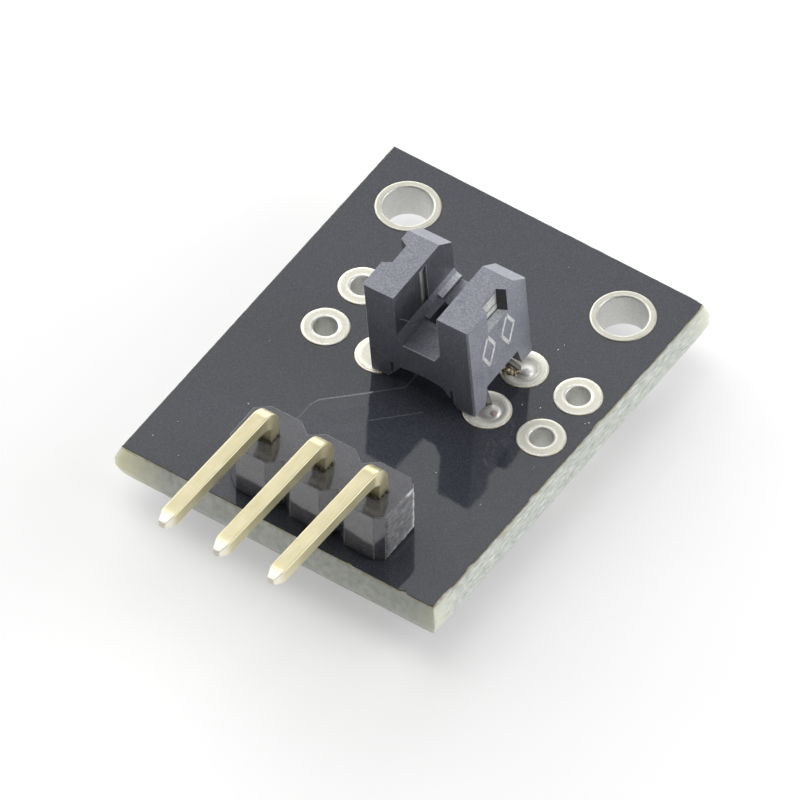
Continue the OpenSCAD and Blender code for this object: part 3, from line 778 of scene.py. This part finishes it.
def tinned_hole(name, node, hole_r):
    """A plated hole whose tin coat is domed on both faces and rolls over into the barrel."""
    ring_r = ring_radius(node)
    bottom, top = (corner.z for corner in low_high(node))
    band, dome = ring_r - hole_r, TIN_DOME
    face = [
        (ring_r, top - 0.030), (ring_r - 0.006, top - 0.008), (ring_r - 0.03, top + 0.008),
        (ring_r - 0.14 * band, top + 0.8 * dome), (ring_r - 0.30 * band, top + dome),
        (ring_r - 0.45 * band, top + 0.8 * dome), (hole_r + 0.40 * band, top + 0.85 * dome),
        (hole_r + 0.22 * band, top + dome), (hole_r + 0.05, top + 0.6 * dome),
        (hole_r + 0.02, top - 0.008), (hole_r + 0.006, top - 0.04), (hole_r, top - TIN_ROLL),
    ]
    under = [(r, top + bottom - z) for r, z in reversed(face)]
    inner_height = top - bottom - 2 * TIN_ROLL
    barrel = [(hole_r, top - TIN_ROLL - inner_height * k / 6) for k in range(1, 6)]
    wall = hole_r + MASK_THICKNESS
    low, high = LAMINATE_BOTTOM, LAMINATE_TOP
    profile = face + barrel + under + [(ring_r, low), (wall, low), (wall, high), (ring_r, high)]
    bm = bmesh.new()
    centre = middle(node).xy
    loops = turned(bm, centre, profile, RING_STEPS, *TIN_LUMPS, hole_r, ring_r)
    skin(bm, loops, closed=True)
    material = MOUNT_RING_SHADED if hole_r == MOUNT_HOLE_R else PAD_RING_LIT
    finish_piece(name, bm, "tin_plating", [material], (node,), smooth=60)


# A joint's skin over its ring: (radius, height over the ring), with a hollow round the middle dome
JOINT_SKIN = (
    (0.90, 0.0), (0.885, 0.030), (0.80, 0.042), (0.68, 0.042), (0.61, 0.030), (0.54, 0.014),
    (0.45, 0.022), (0.38, 0.070), (0.29, 0.118), (0.17, 0.147), (0, 0.16),
)
DOME_R = 0.5
# Joint 1's skin is flat
FLAT_SKIN = (
    (0.90, 0.0), (0.885, 0.030), (0.70, 0.036), (0.50, 0.030), (0.30, 0.036), (0.15, 0.042),
    (0, 0.044),
)
# Each joint's dome: how much of its full width it has, and its place off the hole's middle
DOMES = {1: (1.0, 0.0, 0.0), 2: (1.0, -0.25, -0.10), 3: (0.85, 0.42, -0.05), 4: (0.62, 0.31, -0.17)}
DOME_REACH = 0.80
# The height up to which solder stands against a hole's wall
SOLDER_RIM = BOARD_TOP - 0.03
# A joint's cone below the board: how far its foot stays inside the ring, and its height
CONE_INSET = 0.06
CONE_HEIGHT = 0.8
JOINT_STEPS = 72
# How thick a joint's tip is round a lead and round a pin
LEAD_CORE_R = 0.42
PIN_CORE_R = 0.5


def joint_cone(node, ring_r, core_r, hole_r):
    """The hollow-sided cone below the board, up to the hole's wall."""
    bottom = low_high(node)[0].z
    foot_r, foot_z = ring_r - CONE_INSET, bottom + CONE_HEIGHT
    profile = [(0, bottom)]
    steps = 10
    for k in range(steps, -1, -1):
        a = math.pi / 2 * k / steps
        radius = foot_r - (foot_r - core_r) * math.sin(a)
        profile.append((radius, foot_z - (foot_z - bottom) * (1 - math.cos(a))))
    return profile + [(hole_r, foot_z + 0.02), (hole_r, SOLDER_RIM)]


def joint_top(hole_r, dome_top, dome):
    """A joint above its hole: a skin with a dome to one side, a flat skin or a plain dome."""
    if dome:
        share, shift, _ = dome
        shape = JOINT_SKIN if shift else FLAT_SKIN
        return [(r * share if r < DOME_R else r, SEAT_Z + height) for r, height in shape]
    turns = [math.pi / 2 * k / 10 for k in range(1, 10)]
    rise = dome_top - SOLDER_RIM
    side = [(hole_r * math.cos(a), SOLDER_RIM + rise * math.sin(a)) for a in turns]
    return side + [(0, dome_top)]


def solder_joint(name, node, centre, hole_r, ring_r, core_r, dome_top, dome=None):
    """Solder that fills a hole, with a cone below, and above it a plain dome or a skin with one."""
    profile = joint_cone(node, ring_r, core_r, hole_r) + joint_top(hole_r, dome_top, dome)
    bm = bmesh.new()
    loops = turned(bm, centre, profile, JOINT_STEPS, *SOLDER_LUMPS, 0.0, JOINT_SKIN[0][0])
    skin(bm, loops[1:-1])
    fan(bm, loops[0][0], loops[1])
    fan(bm, loops[-1][0], loops[-2])
    if dome:
        for vert in bm.verts:
            reach = (vert.co.xy - centre).length
            if vert.co.z > BOARD_TOP and reach < DOME_REACH:
                vert.co.x += dome[1] * (1 - reach / DOME_REACH)
                vert.co.y += dome[2] * (1 - reach / DOME_REACH)
    flat = dome and not dome[1]
    finish_piece(name, bm, "solder", [PAD_RING_LIT if flat else JOINT], (node,), smooth=60)


# The header

# A pin's ends: (distance from the tip, share of the full section), the edges' radius, and the
# steps along its upright part, its bend and its run
PIN_TAPER = [(0.0, 0.42), (0.03, 0.50), (0.42, 0.92), (0.50, 0.98), (0.56, 1.0)]
PIN_EDGE_R = 0.05
UPRIGHT_STEPS = 12
BEND_STEPS = 20
RUN_STEPS = 24


def square_loop(bm, centre, up, half, corner):
    """A loop round a rounded square that lies along X and a second direction."""
    points = []
    corner_steps = 3
    for quarter in range(4):
        turn = math.pi / 2 * quarter
        towards = Vector((math.cos(turn) - math.sin(turn), math.sin(turn) + math.cos(turn)))
        for k in range(corner_steps + 1):
            a = turn + math.pi / 2 * k / corner_steps
            p = towards * (half - corner) + corner * Vector((math.cos(a), math.sin(a)))
            points.append(centre + Vector((1, 0, 0)) * p.x + up * p.y)
    return loop_of(bm, points)


def pin_sections(x, row_y, tip_y, run_z):
    """A pin's sections (centre, up, share) from its tail, round the bend and out to its tip."""
    taper = PIN_TAPER[-1][0]
    straight_top, start_y = run_z - PIN_BEND_R, row_y - PIN_BEND_R
    stem = [(TAIL_Z + step, share) for step, share in PIN_TAPER]
    for k in range(1, UPRIGHT_STEPS + 1):
        stem.append((TAIL_Z + taper + (straight_top - TAIL_Z - taper) * k / UPRIGHT_STEPS, 1.0))
    sections = [(Vector((x, row_y, z)), Vector((0, 1, 0)), share) for z, share in stem]
    for k in range(1, BEND_STEPS + 1):
        a = math.pi / 2 * k / BEND_STEPS
        back, rise = PIN_BEND_R * (1 - math.cos(a)), PIN_BEND_R * math.sin(a)
        centre = Vector((x, row_y - back, straight_top + rise))
        sections.append((centre, Vector((0, math.cos(a), math.sin(a))), 1.0))
    length = start_y - tip_y - taper
    run = [(tip_y + taper + length * k / RUN_STEPS, 1.0) for k in range(RUN_STEPS - 1, 0, -1)]
    for y, share in run + [(tip_y + step, share) for step, share in reversed(PIN_TAPER)]:
        out = (start_y - y) / (start_y - tip_y)
        centre = Vector((x + PIN_LEAN[0] * out, y, run_z + PIN_LEAN[1] * out))
        sections.append((centre, Vector((0, 0, 1)), share))
    return sections


def header_pin(i):
    node = f"header_pin_{i}"
    low, high = low_high(node)
    x, row_y = (low.x + high.x) / 2, HEADER_ROW[i - 1].y
    half = PIN_SIDE / 2
    run_z = high.z - half
    bm = bmesh.new()
    skin(bm, [
        square_loop(bm, centre, up, half * share, PIN_EDGE_R * share)
        for centre, up, share in pin_sections(x, row_y, low.y, run_z)
    ], capped=True)
    inside = (1 - math.sqrt(0.5)) * (PIN_BEND_R - half) + half
    for vert in bm.verts:
        away = math.hypot(vert.co.y - (row_y - inside), vert.co.z - (run_z - inside))
        away /= BEND_BULGE_REACH
        if away < 1:
            vert.co.x += math.copysign(BEND_BULGE * (1 - away * away) ** 2, vert.co.x - x)
    for face in bm.faces:
        if face.calc_center_median().y < low.y + PIN_TAPER[1][0]:
            face.material_index = 1
    finish_piece(f"bent_pin_{i}", bm, "pin_metal", [PIN, PIN_END], (node,), smooth=12)


def strip_body():
    """The strip, with painted light on its front faces."""
    bm = node_mesh("header_strip")
    for face in bm.faces:
        if face.normal.y < -0.9:
            face.material_index = 2
    materials = [STRIP, STRIP_EDGE, STRIP_FRONT_LIT]
    finish_piece("strip_body", bm, "header_plastic", materials, ("header_strip",), 30, 0.035, 1)


# The torn face: half its width, its heights off the strip's foot and top, and its grid
TORN_HALF = 0.95
TORN_LOW, TORN_HIGH = 0.12, -0.02
TORN_ACROSS, TORN_UP = 44, 56


def torn_point(u, v):
    """The torn face's point and paleness at a share u of its width and v of its height."""
    z_low, z_high = STRIP_LOW.z + TORN_LOW, STRIP_HIGH.z + TORN_HIGH
    y = HEADER_ROW[0].y + (2 * u - 1) * TORN_HALF
    z = z_low + (z_high - z_low) * v
    border = min(u, 1 - u, v * 1.3, (1 - v) * 1.3) * 2 * TORN_HALF
    tear = noise.fractal(Vector((y / 0.5 + z / 0.8, z / 0.35, 3.0)), 0.7, 2.0, 4)
    lift = 0.012 + 0.05 * min(1, border / 0.12) + 0.035 * tear
    ragged = lump(y / 0.18, 7.0, 1.0) * 0.09 * max(0, 1 - v * 4)
    sunk = 0.05 if border < 1e-6 else 0
    rim_wide = 0.03 + 0.20 * u + 0.10 * (1 - v) + 0.12 * lump(y / 0.2, z / 0.2, 8.0)
    rim_gap = min(1 - u, v * 1.3, (1 - v) * 1.3 + 0.12 * (1 - u)) * 2 * TORN_HALF
    wear = 1.6 * (1 - min(1, rim_gap / max(0.05, rim_wide)))
    pale = max(0.14 * u * u, min(0.9, wear)) * (0.7 + 0.3 * lump(y / 0.12, z / 0.12, 5.0))
    return (STRIP_HIGH.x + max(lift, 0.004) - sunk, y, z + ragged), pale


def snapped_end():
    """The torn face at the right end of the strip, standing a little proud, with a pale rim."""
    bm = bmesh.new()
    rim = bm.verts.layers.float.new("rim")
    grid = []
    for j in range(TORN_UP + 1):
        grid.append([])
        for i in range(TORN_ACROSS + 1):
            point, pale = torn_point(i / TORN_ACROSS, j / TORN_UP)
            grid[-1].append(bm.verts.new(point))
            grid[-1][-1][rim] = pale
    for lower, upper in zip(grid, grid[1:]):
        for i in range(TORN_ACROSS):
            bm.faces.new((lower[i], lower[i + 1], upper[i + 1], upper[i]))
    border = grid[0] + [row[-1] for row in grid[1:]] + grid[-1][-2::-1]
    border += [row[0] for row in reversed(grid[1:-1])]
    back = loop_of(bm, [(STRIP_HIGH.x - 0.08, v.co.y, v.co.z) for v in border])
    bridge(bm, border, back)
    bm.faces.new(back)
    finish_piece("snapped_end", bm, "header_plastic", [SNAPPED], smooth=60)


# The fork

def fork_frame():
    """The leaning housing's own frame: origin at the middle of its feet, in millimetres."""
    column_x = (LEAD_HOLES[0].x + LEAD_HOLES[2].x) / 2
    left, forward = math.radians(LEAN_LEFT), math.radians(LEAN_FORWARD)
    lean = Matrix.Rotation(-left, 4, "Y") @ Matrix.Rotation(forward, 4, "X")
    lift = FORK_WIDTH / 2 * math.sin(left) + FORK_DEPTH / 2 * math.sin(forward)
    return Matrix.Translation((column_x, SENSOR_Y, SEAT_Z + lift)) @ lean


FORK_FRAME = fork_frame()


# Heights between which a pocket lies, and the distance from the middle beyond which it does
POCKET_HEIGHTS = (3.6, 4.99)
POCKET_FROM = 2.05


def housing_skin(centre, facing):
    """A housing face's material, by its middle and its normal in the housing's frame: painted shade on
    the slot walls, on the pockets' front-facing walls and on the right side's rear, and painted light
    on the ledges in the slot and at the pockets.
    """
    in_slot = abs(centre.x) < SLOT_HALF + 0.15 and centre.z > SLOT_FLOOR - 0.8
    in_pocket = abs(centre.x) > POCKET_FROM and POCKET_HEIGHTS[0] < centre.z < POCKET_HEIGHTS[1]
    on_step = in_slot and facing.z > 0.7 and centre.y > 0.6 and centre.z > SLOT_FLOOR + 0.1
    if in_slot and abs(facing.x) > 0.9:
        return SHADED_SLOT_WALL
    if on_step or in_pocket and facing.z > 0.8:
        return LIT_LEDGE
    if in_pocket and facing.y < -0.5:
        return SHADED_RECESS
    return HOUSING_RIGHT_SHADED if facing.x > 0.9 and centre.x > 2.2 else HOUSING


def fork_body():
    """The housing, with painted shade on its smoother slot walls and on the recesses by its windows,
    and painted light on its ledges.
    """
    bm = node_mesh("fork_housing")
    to_housing = FORK_FRAME.inverted()
    materials = [HOUSING, HOUSING_EDGE, SHADED_SLOT_WALL, LIT_LEDGE, SHADED_RECESS, HOUSING_RIGHT_SHADED]
    for face in bm.faces:
        centre = to_housing @ face.calc_center_median()
        facing = to_housing.to_3x3() @ face.normal
        face.material_index = materials.index(housing_skin(centre, facing))
    finish_piece("fork_body", bm, "housing_plastic", materials, ("fork_housing",), 30, 0.024, 1)


def package_copy(name, node, slot_side):
    """An optical package: cream, with a darker, smoky copy of its resin as painted shade where it looks
    into the slot.
    """
    bm = node_mesh(node)
    to_housing = FORK_FRAME.inverted().to_3x3()
    for face in bm.faces:
        facing = to_housing @ face.normal
        if facing.x * slot_side > 0.95:
            face.material_index = 1
    finish_piece(name, bm, "package_resin", [RESIN, SMOKY], (node,), 30, 0.02)


def stroke(bm, start, end, width, thick, place):
    """A flat bar with round ends between two points of a plane, put in place by a matrix."""
    along = (end - start).normalized()
    side = Vector((-along.y, along.x))
    outline = []
    for centre, turn in ((end, -90), (start, 90)):
        for k in range(9):
            a = math.radians(turn + 180 * k / 8)
            outline.append(centre + (along * math.cos(a) + side * math.sin(a)) * width / 2)
    lower = loop_of(bm, [place @ Vector((p.x, p.y, -thick)) for p in outline])
    upper = loop_of(bm, [place @ Vector((p.x, p.y, thick)) for p in outline])
    bridge(bm, lower, upper)
    bm.faces.new(lower[::-1])
    bm.faces.new(upper)


# The diamonds' places across and up the housing's side, half their size, and their ink lines
DIAMONDS = ((-0.75, 2.75), (0.55, 2.75))
DIAMOND_HALF = (0.42, 0.84)
INK_WIDE, INK_THICK = 0.14, 0.008


def ink_diamonds():
    """Two plain hollow diamonds in white ink on the right side of the housing."""
    side_plane = FORK_FRAME @ Matrix.Translation((FORK_WIDTH / 2, 0, 0)) @ Matrix(
        ((0, 0, 1, 0), (1, 0, 0, 0), (0, 1, 0, 0), (0, 0, 0, 1))
    )
    bm = bmesh.new()
    wide, high = DIAMOND_HALF
    for centre in DIAMONDS:
        steps = ((wide, 0), (0, high), (-wide, 0), (0, -high))
        for start, end in pairs([Vector(centre) + Vector(step) for step in steps]):
            stroke(bm, start, end, INK_WIDE, INK_THICK, side_plane)
    finish_piece("ink_diamonds", bm, "housing_plastic", [INK], smooth=40)


def thread(bm, points, radius, sides=6):
    """A thin round line through points of the housing's frame."""
    points = [FORK_FRAME @ Vector(p) for p in points]
    turns = [2 * math.pi * k / sides for k in range(sides)]
    loops = []
    for i, p in enumerate(points):
        along = (points[min(i + 1, len(points) - 1)] - points[max(i - 1, 0)]).normalized()
        side = along.orthogonal().normalized()
        up = along.cross(side)
        ring = [p + radius * (side * math.cos(a) + up * math.sin(a)) for a in turns]
        loops.append(loop_of(bm, ring))
    skin(bm, loops, capped=True)


def highlit_worn_edges():
    """Pale lines on edges, partly wear and partly painted highlight: the front of the slot's floor, an
    arm's front edge and the slits' lips.
    """
    front, corner_x = -FORK_DEPTH / 2, SLOT_HALF - SLOT_CORNER_WIDE
    corner = (SLOT_HALF, front, SLOT_FLOOR + SLOT_CORNER_HIGH)
    lines = [
        (0.026, [(-corner_x, front, SLOT_FLOOR), (corner_x, front, SLOT_FLOOR), corner]),
        (0.014, [corner, (SLOT_HALF, front, FORK_HEIGHT - 0.03)]),
    ]
    for x in (-SLOT_HALF, SLOT_HALF):
        for y in (-SLIT_WIDE / 2, SLIT_WIDE / 2):
            lines.append((0.015, [(x, y, SLIT_FLOOR), (x, y, FORK_HEIGHT - ROOF)]))
    bm = bmesh.new()
    for radius, points in lines:
        whole = []
        for a, b in zip(points, points[1:]):
            whole += [Vector(a).lerp(Vector(b), k / 6) for k in range(6)]
        thread(bm, whole + [points[-1]], radius)
    finish_piece("highlit_worn_edges", bm, "housing_plastic", [WORN_AND_HIGHLIT], smooth=60)


def slit_lips():
    """The sloping lip at the top of each slit, made pale as painted light."""
    top, half = FORK_HEIGHT - ROOF, SLIT_WIDE / 2 - 0.02
    bm = bmesh.new()
    for side in (-1, 1):
        x_front, x_back = side * (SLOT_HALF + 0.015), side * (SLOT_HALF + 0.12)
        corners = [(x_front, top), (x_back, top), (x_back, top - 0.30)]
        skin(bm, [
            loop_of(bm, [FORK_FRAME @ Vector((x, y, z)) for x, z in corners]) for y in (-half, half)
        ], capped=True)
    finish_piece("slit_lips", bm, "housing_plastic", [WORN_AND_HIGHLIT], smooth=30)


def slot_wall_highlight_line():
    """A fine pale line on the slot's left wall: a painted highlight standing in for an edge that is not
    modelled.
    """
    x = -SLOT_HALF + 0.008
    route = [(x, -1.69, 3.48), (x, -1.40, 3.12), (x, -1.12, 2.74), (x + 0.03, -0.98, 2.62)]
    bm = bmesh.new()
    thread(bm, route, 0.014)
    finish_piece("slot_wall_highlight_line", bm, "housing_plastic", [DUST], smooth=60)


def plain_copy(name, node, slot, bevel):
    finish_piece(name, node_mesh(node), slot, stands_for=(node,), smooth=30, bevel=bevel)


# Dirt and marks that the photograph shows

def blob(bm, centre, radius, squash, seed, steps=14):
    """A lumpy flattened bead resting on the board."""
    x, y, z = centre
    rows = steps // 2
    loops = []
    for j in range(1, rows):
        lat = math.pi * j / rows
        points = []
        for i in range(steps):
            lon = 2 * math.pi * i / steps
            d = Vector((math.sin(lat) * math.cos(lon), math.sin(lat) * math.sin(lon), math.cos(lat)))
            r = radius * (1 + 0.45 * noise.noise(d * 1.6 + Vector((seed, 0, 0))))
            points.append((x + r * d.x, y + r * d.y, z + r * squash * d.z))
        loops.append(loop_of(bm, points))
    skin(bm, loops)
    for end, loop in ((1, loops[0]), (-1, loops[-1])):
        fan(bm, bm.verts.new((x, y, z + end * radius * squash)), loop)


def flux_residue():
    """Brown flux clinging to the rear right lead above its joint."""
    bm = bmesh.new()
    lumps = [
        (2.84, -4.84, 2.12, 0.12), (2.95, -4.80, 2.00, 0.16), (3.06, -4.75, 1.90, 0.18),
        (3.18, -4.70, 1.80, 0.17), (3.00, -4.95, 1.76, 0.15), (3.13, -4.93, 1.72, 0.14),
        (2.93, -4.65, 1.72, 0.14), (3.27, -4.84, 1.70, 0.11), (2.84, -4.97, 1.71, 0.11),
        (3.06, -4.55, 1.70, 0.12), (2.95, -5.08, 1.68, 0.08), (3.36, -4.70, 1.74, 0.10),
    ]
    for k, (x, y, z, radius) in enumerate(lumps):
        blob(bm, (x, y, z), radius, 0.9, 3.1 * k)
    finish_piece("flux_residue", bm, "solder", [FLUX], smooth=60)


# Dark blobs round a pin's foot: (x, y) from the pin's middle, and its radius
FOOT_DARK_BLOBS = [
    (-0.27, -0.36, 0.075), (-0.12, -0.38, 0.105), (0.04, -0.38, 0.08), (0.18, -0.37, 0.09),
    (0.32, -0.34, 0.08), (0.38, -0.12, 0.055), (0.38, 0.14, 0.085),
]


def dark_pin_feet():
    """Dark blobs round the pins where they enter the strip."""
    bm = bmesh.new()
    for i, hole in enumerate(HEADER_ROW):
        for k, (x, y, radius) in enumerate(FOOT_DARK_BLOBS):
            seed = 5.3 * i + 1.9 * k
            size = radius * (1 + 0.5 * lump(seed, 2.0, 6.0))
            blob(bm, (hole.x + x, hole.y + y, STRIP_TOP), size, 0.7, seed, 10)
    finish_piece("dark_pin_feet", bm, "header_plastic", [FOOT_DARK], smooth=60)


def copper_spot():
    """The pinkish wetted spot on the front right joint's dome."""
    bm = bmesh.new()
    centre = LEAD_HOLES[2] + Vector((DOMES[3][1] - 0.02, DOMES[3][2] - 0.07))
    blob(bm, (centre.x, centre.y, SEAT_Z + 0.148), 0.15, 0.22, 2.0)
    finish_piece("copper_spot", bm, "solder", [COPPER], smooth=60)


def dust_specks():
    """Grit and lint lying on the mask."""
    bm = bmesh.new()
    specks = [
        (5.35, -6.35, 0.030), (5.05, -5.72, 0.035), (3.95, -2.85, 0.030), (4.02, -2.52, 0.025),
        (-4.45, -11.9, 0.040), (2.55, -12.55, 0.030), (3.55, -13.35, 0.025), (6.55, -8.35, 0.03),
        (-5.6, -8.8, 0.025), (-1.4, -2.3, 0.02), (1.9, 0.9, 0.02), (5.9, -11.1, 0.025),
        (-6.2, -14.2, 0.03), (7.05, -5.31, 0.045), (6.95, -5.42, 0.03), (1.42, -1.83, 0.02),
        (4.37, -5.98, 0.03), (3.57, -10.73, 0.03), (-6.6, -15.3, 0.03), (-5.2, -15.6, 0.03),
        (-3.1, -15.9, 0.025), (0.6, -11.9, 0.03), (1.2, -12.6, 0.03),
    ]
    for k, (x, y, radius) in enumerate(specks):
        blob(bm, (x, y, BOARD_TOP + 0.3 * radius), radius, 0.6, 1.7 * k, 10)
    finish_piece("dust_specks", bm, "solder_mask", [DUST], smooth=60)


# Copper tracks under the top mask: the ridge's height, how wide its left slope is, and its route
TRACKS = {
    "left_track": (0.013, 0.10, [
        (-2.66, -11.77), (-2.43, -11.50), (-2.40, -10.50), (-2.27, -10.20), (-0.88, -8.83),
        (-0.05, -7.98), (0.12, -7.81), (0.16, -7.53), (0.13, -6.6),
    ]),
    "middle_track": (0.006, 0.10, [(-1.02, -10.94), (1.42, -8.48)]),
}


def track_relief(name, height, slope, route):
    """The low ridge that a copper track raises in the mask: steeper on the left of its route."""
    bm = bmesh.new()
    section = [(-slope, -0.004), (0.0, height), (0.02, height), (0.8, -0.004)]
    loops = []
    points = [Vector(p) for p in route]
    for i, p in enumerate(points):
        before = (p - points[i - 1]).normalized() if i else (points[1] - p).normalized()
        after = (points[i + 1] - p).normalized() if i + 1 < len(points) else before
        mitre = (before + after).normalized()
        side = Vector((mitre.y, -mitre.x)) / max(0.3, mitre.dot(before))
        ring = [(p.x + side.x * u, p.y + side.y * u, BOARD_TOP + z) for u, z in section]
        loops.append(loop_of(bm, ring))
    skin(bm, loops, capped=True)
    bm.faces.ensure_lookup_table()
    for k in range(len(loops) - 1):
        bm.faces[k * len(section)].material_index = 1
    finish_piece(name, bm, "solder_mask", [MASK, TRACK_SLOPE], smooth=4)


# Build everything

for node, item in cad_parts.items():
    slot = item.material_slots[0].name
    item.material_slots[0].material = SLOT_MATERIALS[slot]

mask_sheet("mask_sheet_top", "solder_mask_top", MASK_NIBBLES, MASK_CHIPS, [], 1.0)
PAD_OPENINGS = [rectangle(*low_high(f"resistor_pad_{i}"), MASK_GAP) for i in (1, 2, 3, 4)]
mask_sheet(
    "mask_sheet_bottom", "solder_mask_bottom", UNDER_NIBBLES, UNDER_CHIPS, PAD_OPENINGS, 40.0
)
laminate_body()
for i in (1, 2):
    tinned_hole(f"mounting_ring_{i}", f"mounting_hole_plating_{i}", MOUNT_HOLE_R)
for i in (1, 2, 3, 4):
    tinned_hole(f"lead_ring_{i}", f"lead_hole_plating_{i}", PAD_HOLE_R)
    tinned_hole(f"spare_ring_{i}", f"spare_hole_plating_{i}", PAD_HOLE_R)
    lead_top = low_high(f"sensor_solder_{i}")[1].z
    solder_joint(
        f"lead_joint_{i}", f"sensor_solder_{i}", LEAD_HOLES[i - 1], PAD_HOLE_R,
        ring_radius("lead_hole_plating_1"), LEAD_CORE_R, lead_top, DOMES[i],
    )
    plain_copy(f"lead_{i}", f"sensor_lead_{i}", "lead_metal", 0.02)
for i in (1, 2, 3):
    tinned_hole(f"header_ring_{i}", f"header_hole_plating_{i}", HEADER_HOLE_R)
    solder_joint(
        f"pin_joint_{i}", f"header_solder_{i}", HEADER_ROW[i - 1], HEADER_HOLE_R,
        ring_radius("header_hole_plating_1"), PIN_CORE_R, BOARD_TOP + 0.02,
    )
    header_pin(i)
strip_body()
snapped_end()
fork_body()
highlit_worn_edges()
slit_lips()
slot_wall_highlight_line()
ink_diamonds()
package_copy("emitter_body", "emitter_package", 1)
package_copy("detector_body", "detector_package", -1)
for i in (1, 2):
    plain_copy(f"chip_{i}", f"resistor_{i}", "resistor_body", 0.02)
for i in (1, 2, 3, 4):
    plain_copy(f"chip_cap_{i}", f"resistor_cap_{i}", "solder", 0.02)
    plain_copy(f"chip_pad_{i}", f"resistor_pad_{i}", "tin_plating", 0.012)
    plain_copy(f"chip_joint_{i}", f"resistor_solder_{i}", "solder", 0.012)
flux_residue()
dark_pin_feet()
copper_spot()
dust_specks()
for name, (height, slope, route) in TRACKS.items():
    track_relief(name, height, slope, route)


# Stage

FLOOR_Z = TAIL_Z
FLOOR_SIZE_METRES = 6
# The studio's soft lights: degrees to the right of the rear, elevation in degrees, strength
SKY_LIGHTS = {
    "rear_low": (-30, 12, 4.4),
    "rear_left_low": (-60, 12, 2.8),
    "left_low": (-90, 12, 1.6),
    "rear_right_low": (30, 12, 1.0),
    "right_low": (60, 12, 4.3),
    "right_middle": (72, 36, 2.0),
    "left_middle": (-72, 36, 1.2),
    "front_left_middle": (-108, 36, 1.15),
    "left_high": (-60, 62, 2.0),
    "overhead": (0, 90, 1.0),
}
# A light is full within the first angle from its middle and gone beyond the second
LIGHT_FULL = 4
LIGHT_GONE = 28
# The most that glossy surfaces mirror of a light
MIRRORED_MOST = 2.6
# The floor's own light: what the camera sees of it, and what glossy surfaces mirror
FLOOR_SEEN = 0.375
FLOOR_MIRRORED = 0.41
FLOOR_SEEN_COLOUR = (0.68, 0.68, 0.68)
CLIP_NEAR_METRES, CLIP_FAR_METRES = 0.01, 50


def floor():
    """A plain pale floor that keeps the object's soft shadow."""
    look = Look("floor")
    pale = look.ramp(look.noise(60, 2), (0.3, (0.84, 0.84, 0.84)), (0.7, (0.86, 0.86, 0.86)))
    rays = look.node("LightPath").outputs
    colour = look.mix(rays["Is Camera Ray"], pale, FLOOR_SEEN_COLOUR)
    seen = look.times(rays["Is Camera Ray"], FLOOR_SEEN)
    mirrored = look.times(rays["Is Glossy Ray"], FLOOR_MIRRORED)
    material = look.finish(colour, 0.9, [], **{
        "Specular IOR Level": 0.0, "Emission Color": (1, 1, 1),
        "Emission Strength": look.maths("ADD", seen, mirrored),
    })
    bpy.ops.mesh.primitive_plane_add(size=FLOOR_SIZE_METRES, location=(0, 0, FLOOR_Z * MM))
    plane = bpy.context.object
    plane.name = "floor"
    plane.data.materials.append(material)


def surroundings():
    """A soft studio: strong low lights behind and at the right, weaker ones left and above."""
    look = Look("studio", bpy.data.worlds)
    scene.world = look.owner
    view = look.node("TexCoord").outputs["Generated"]
    gone, full = (math.cos(math.radians(a)) for a in (LIGHT_GONE, LIGHT_FULL))
    total = 0.0
    for turn, elevation, strength in SKY_LIGHTS.values():
        a, e = math.radians(turn), math.radians(elevation)
        towards = (math.sin(a) * math.cos(e), math.cos(a) * math.cos(e), math.sin(e))
        dot = look.node("VectorMath", {0: view, 1: towards}, operation="DOT_PRODUCT").outputs["Value"]
        light = look.spread(dot, 0.0, strength, gone, full, interpolation_type="SMOOTHSTEP")
        total = look.maths("ADD", total, light)
    rays = look.node("LightPath").outputs
    glare = look.maths("MAXIMUM", look.maths("SUBTRACT", total, MIRRORED_MOST), 0.0)
    total = look.maths("SUBTRACT", total, look.times(glare, rays["Is Glossy Ray"]))
    background = look.tree.nodes["Background"].inputs
    look.feed(background["Color"], (1, 1, 1))
    look.feed(background["Strength"], look.maths("MAXIMUM", total, rays["Is Camera Ray"]))


def camera():
    angles = (CAMERA_AZIMUTH, CAMERA_ELEVATION, CAMERA_ROLL)
    azimuth, elevation, roll = (math.radians(a) for a in angles)
    forward = Vector((
        -math.sin(azimuth) * math.cos(elevation), math.cos(azimuth) * math.cos(elevation),
        -math.sin(elevation),
    ))
    level_right = Vector((math.cos(azimuth), math.sin(azimuth), 0))
    level_up = level_right.cross(forward)
    right = level_right * math.cos(roll) + level_up * math.sin(roll)
    up = right.cross(forward)
    data = bpy.data.cameras.new("camera")
    data.sensor_width = SENSOR_WIDTH
    data.lens = CAMERA_FOCAL_PIXELS / PICTURE_PIXELS * SENSOR_WIDTH
    data.clip_start, data.clip_end = CLIP_NEAR_METRES, CLIP_FAR_METRES
    item = bpy.data.objects.new("camera", data)
    scene.collection.objects.link(item)
    place = (CAMERA_AIM - forward * CAMERA_DISTANCE) * MM
    turn = Matrix((right, up, -forward)).transposed().to_4x4()
    item.matrix_world = Matrix.Translation(place) @ turn
    scene.camera = item


floor()
surroundings()
camera()
scene.view_settings.view_transform = "Standard"
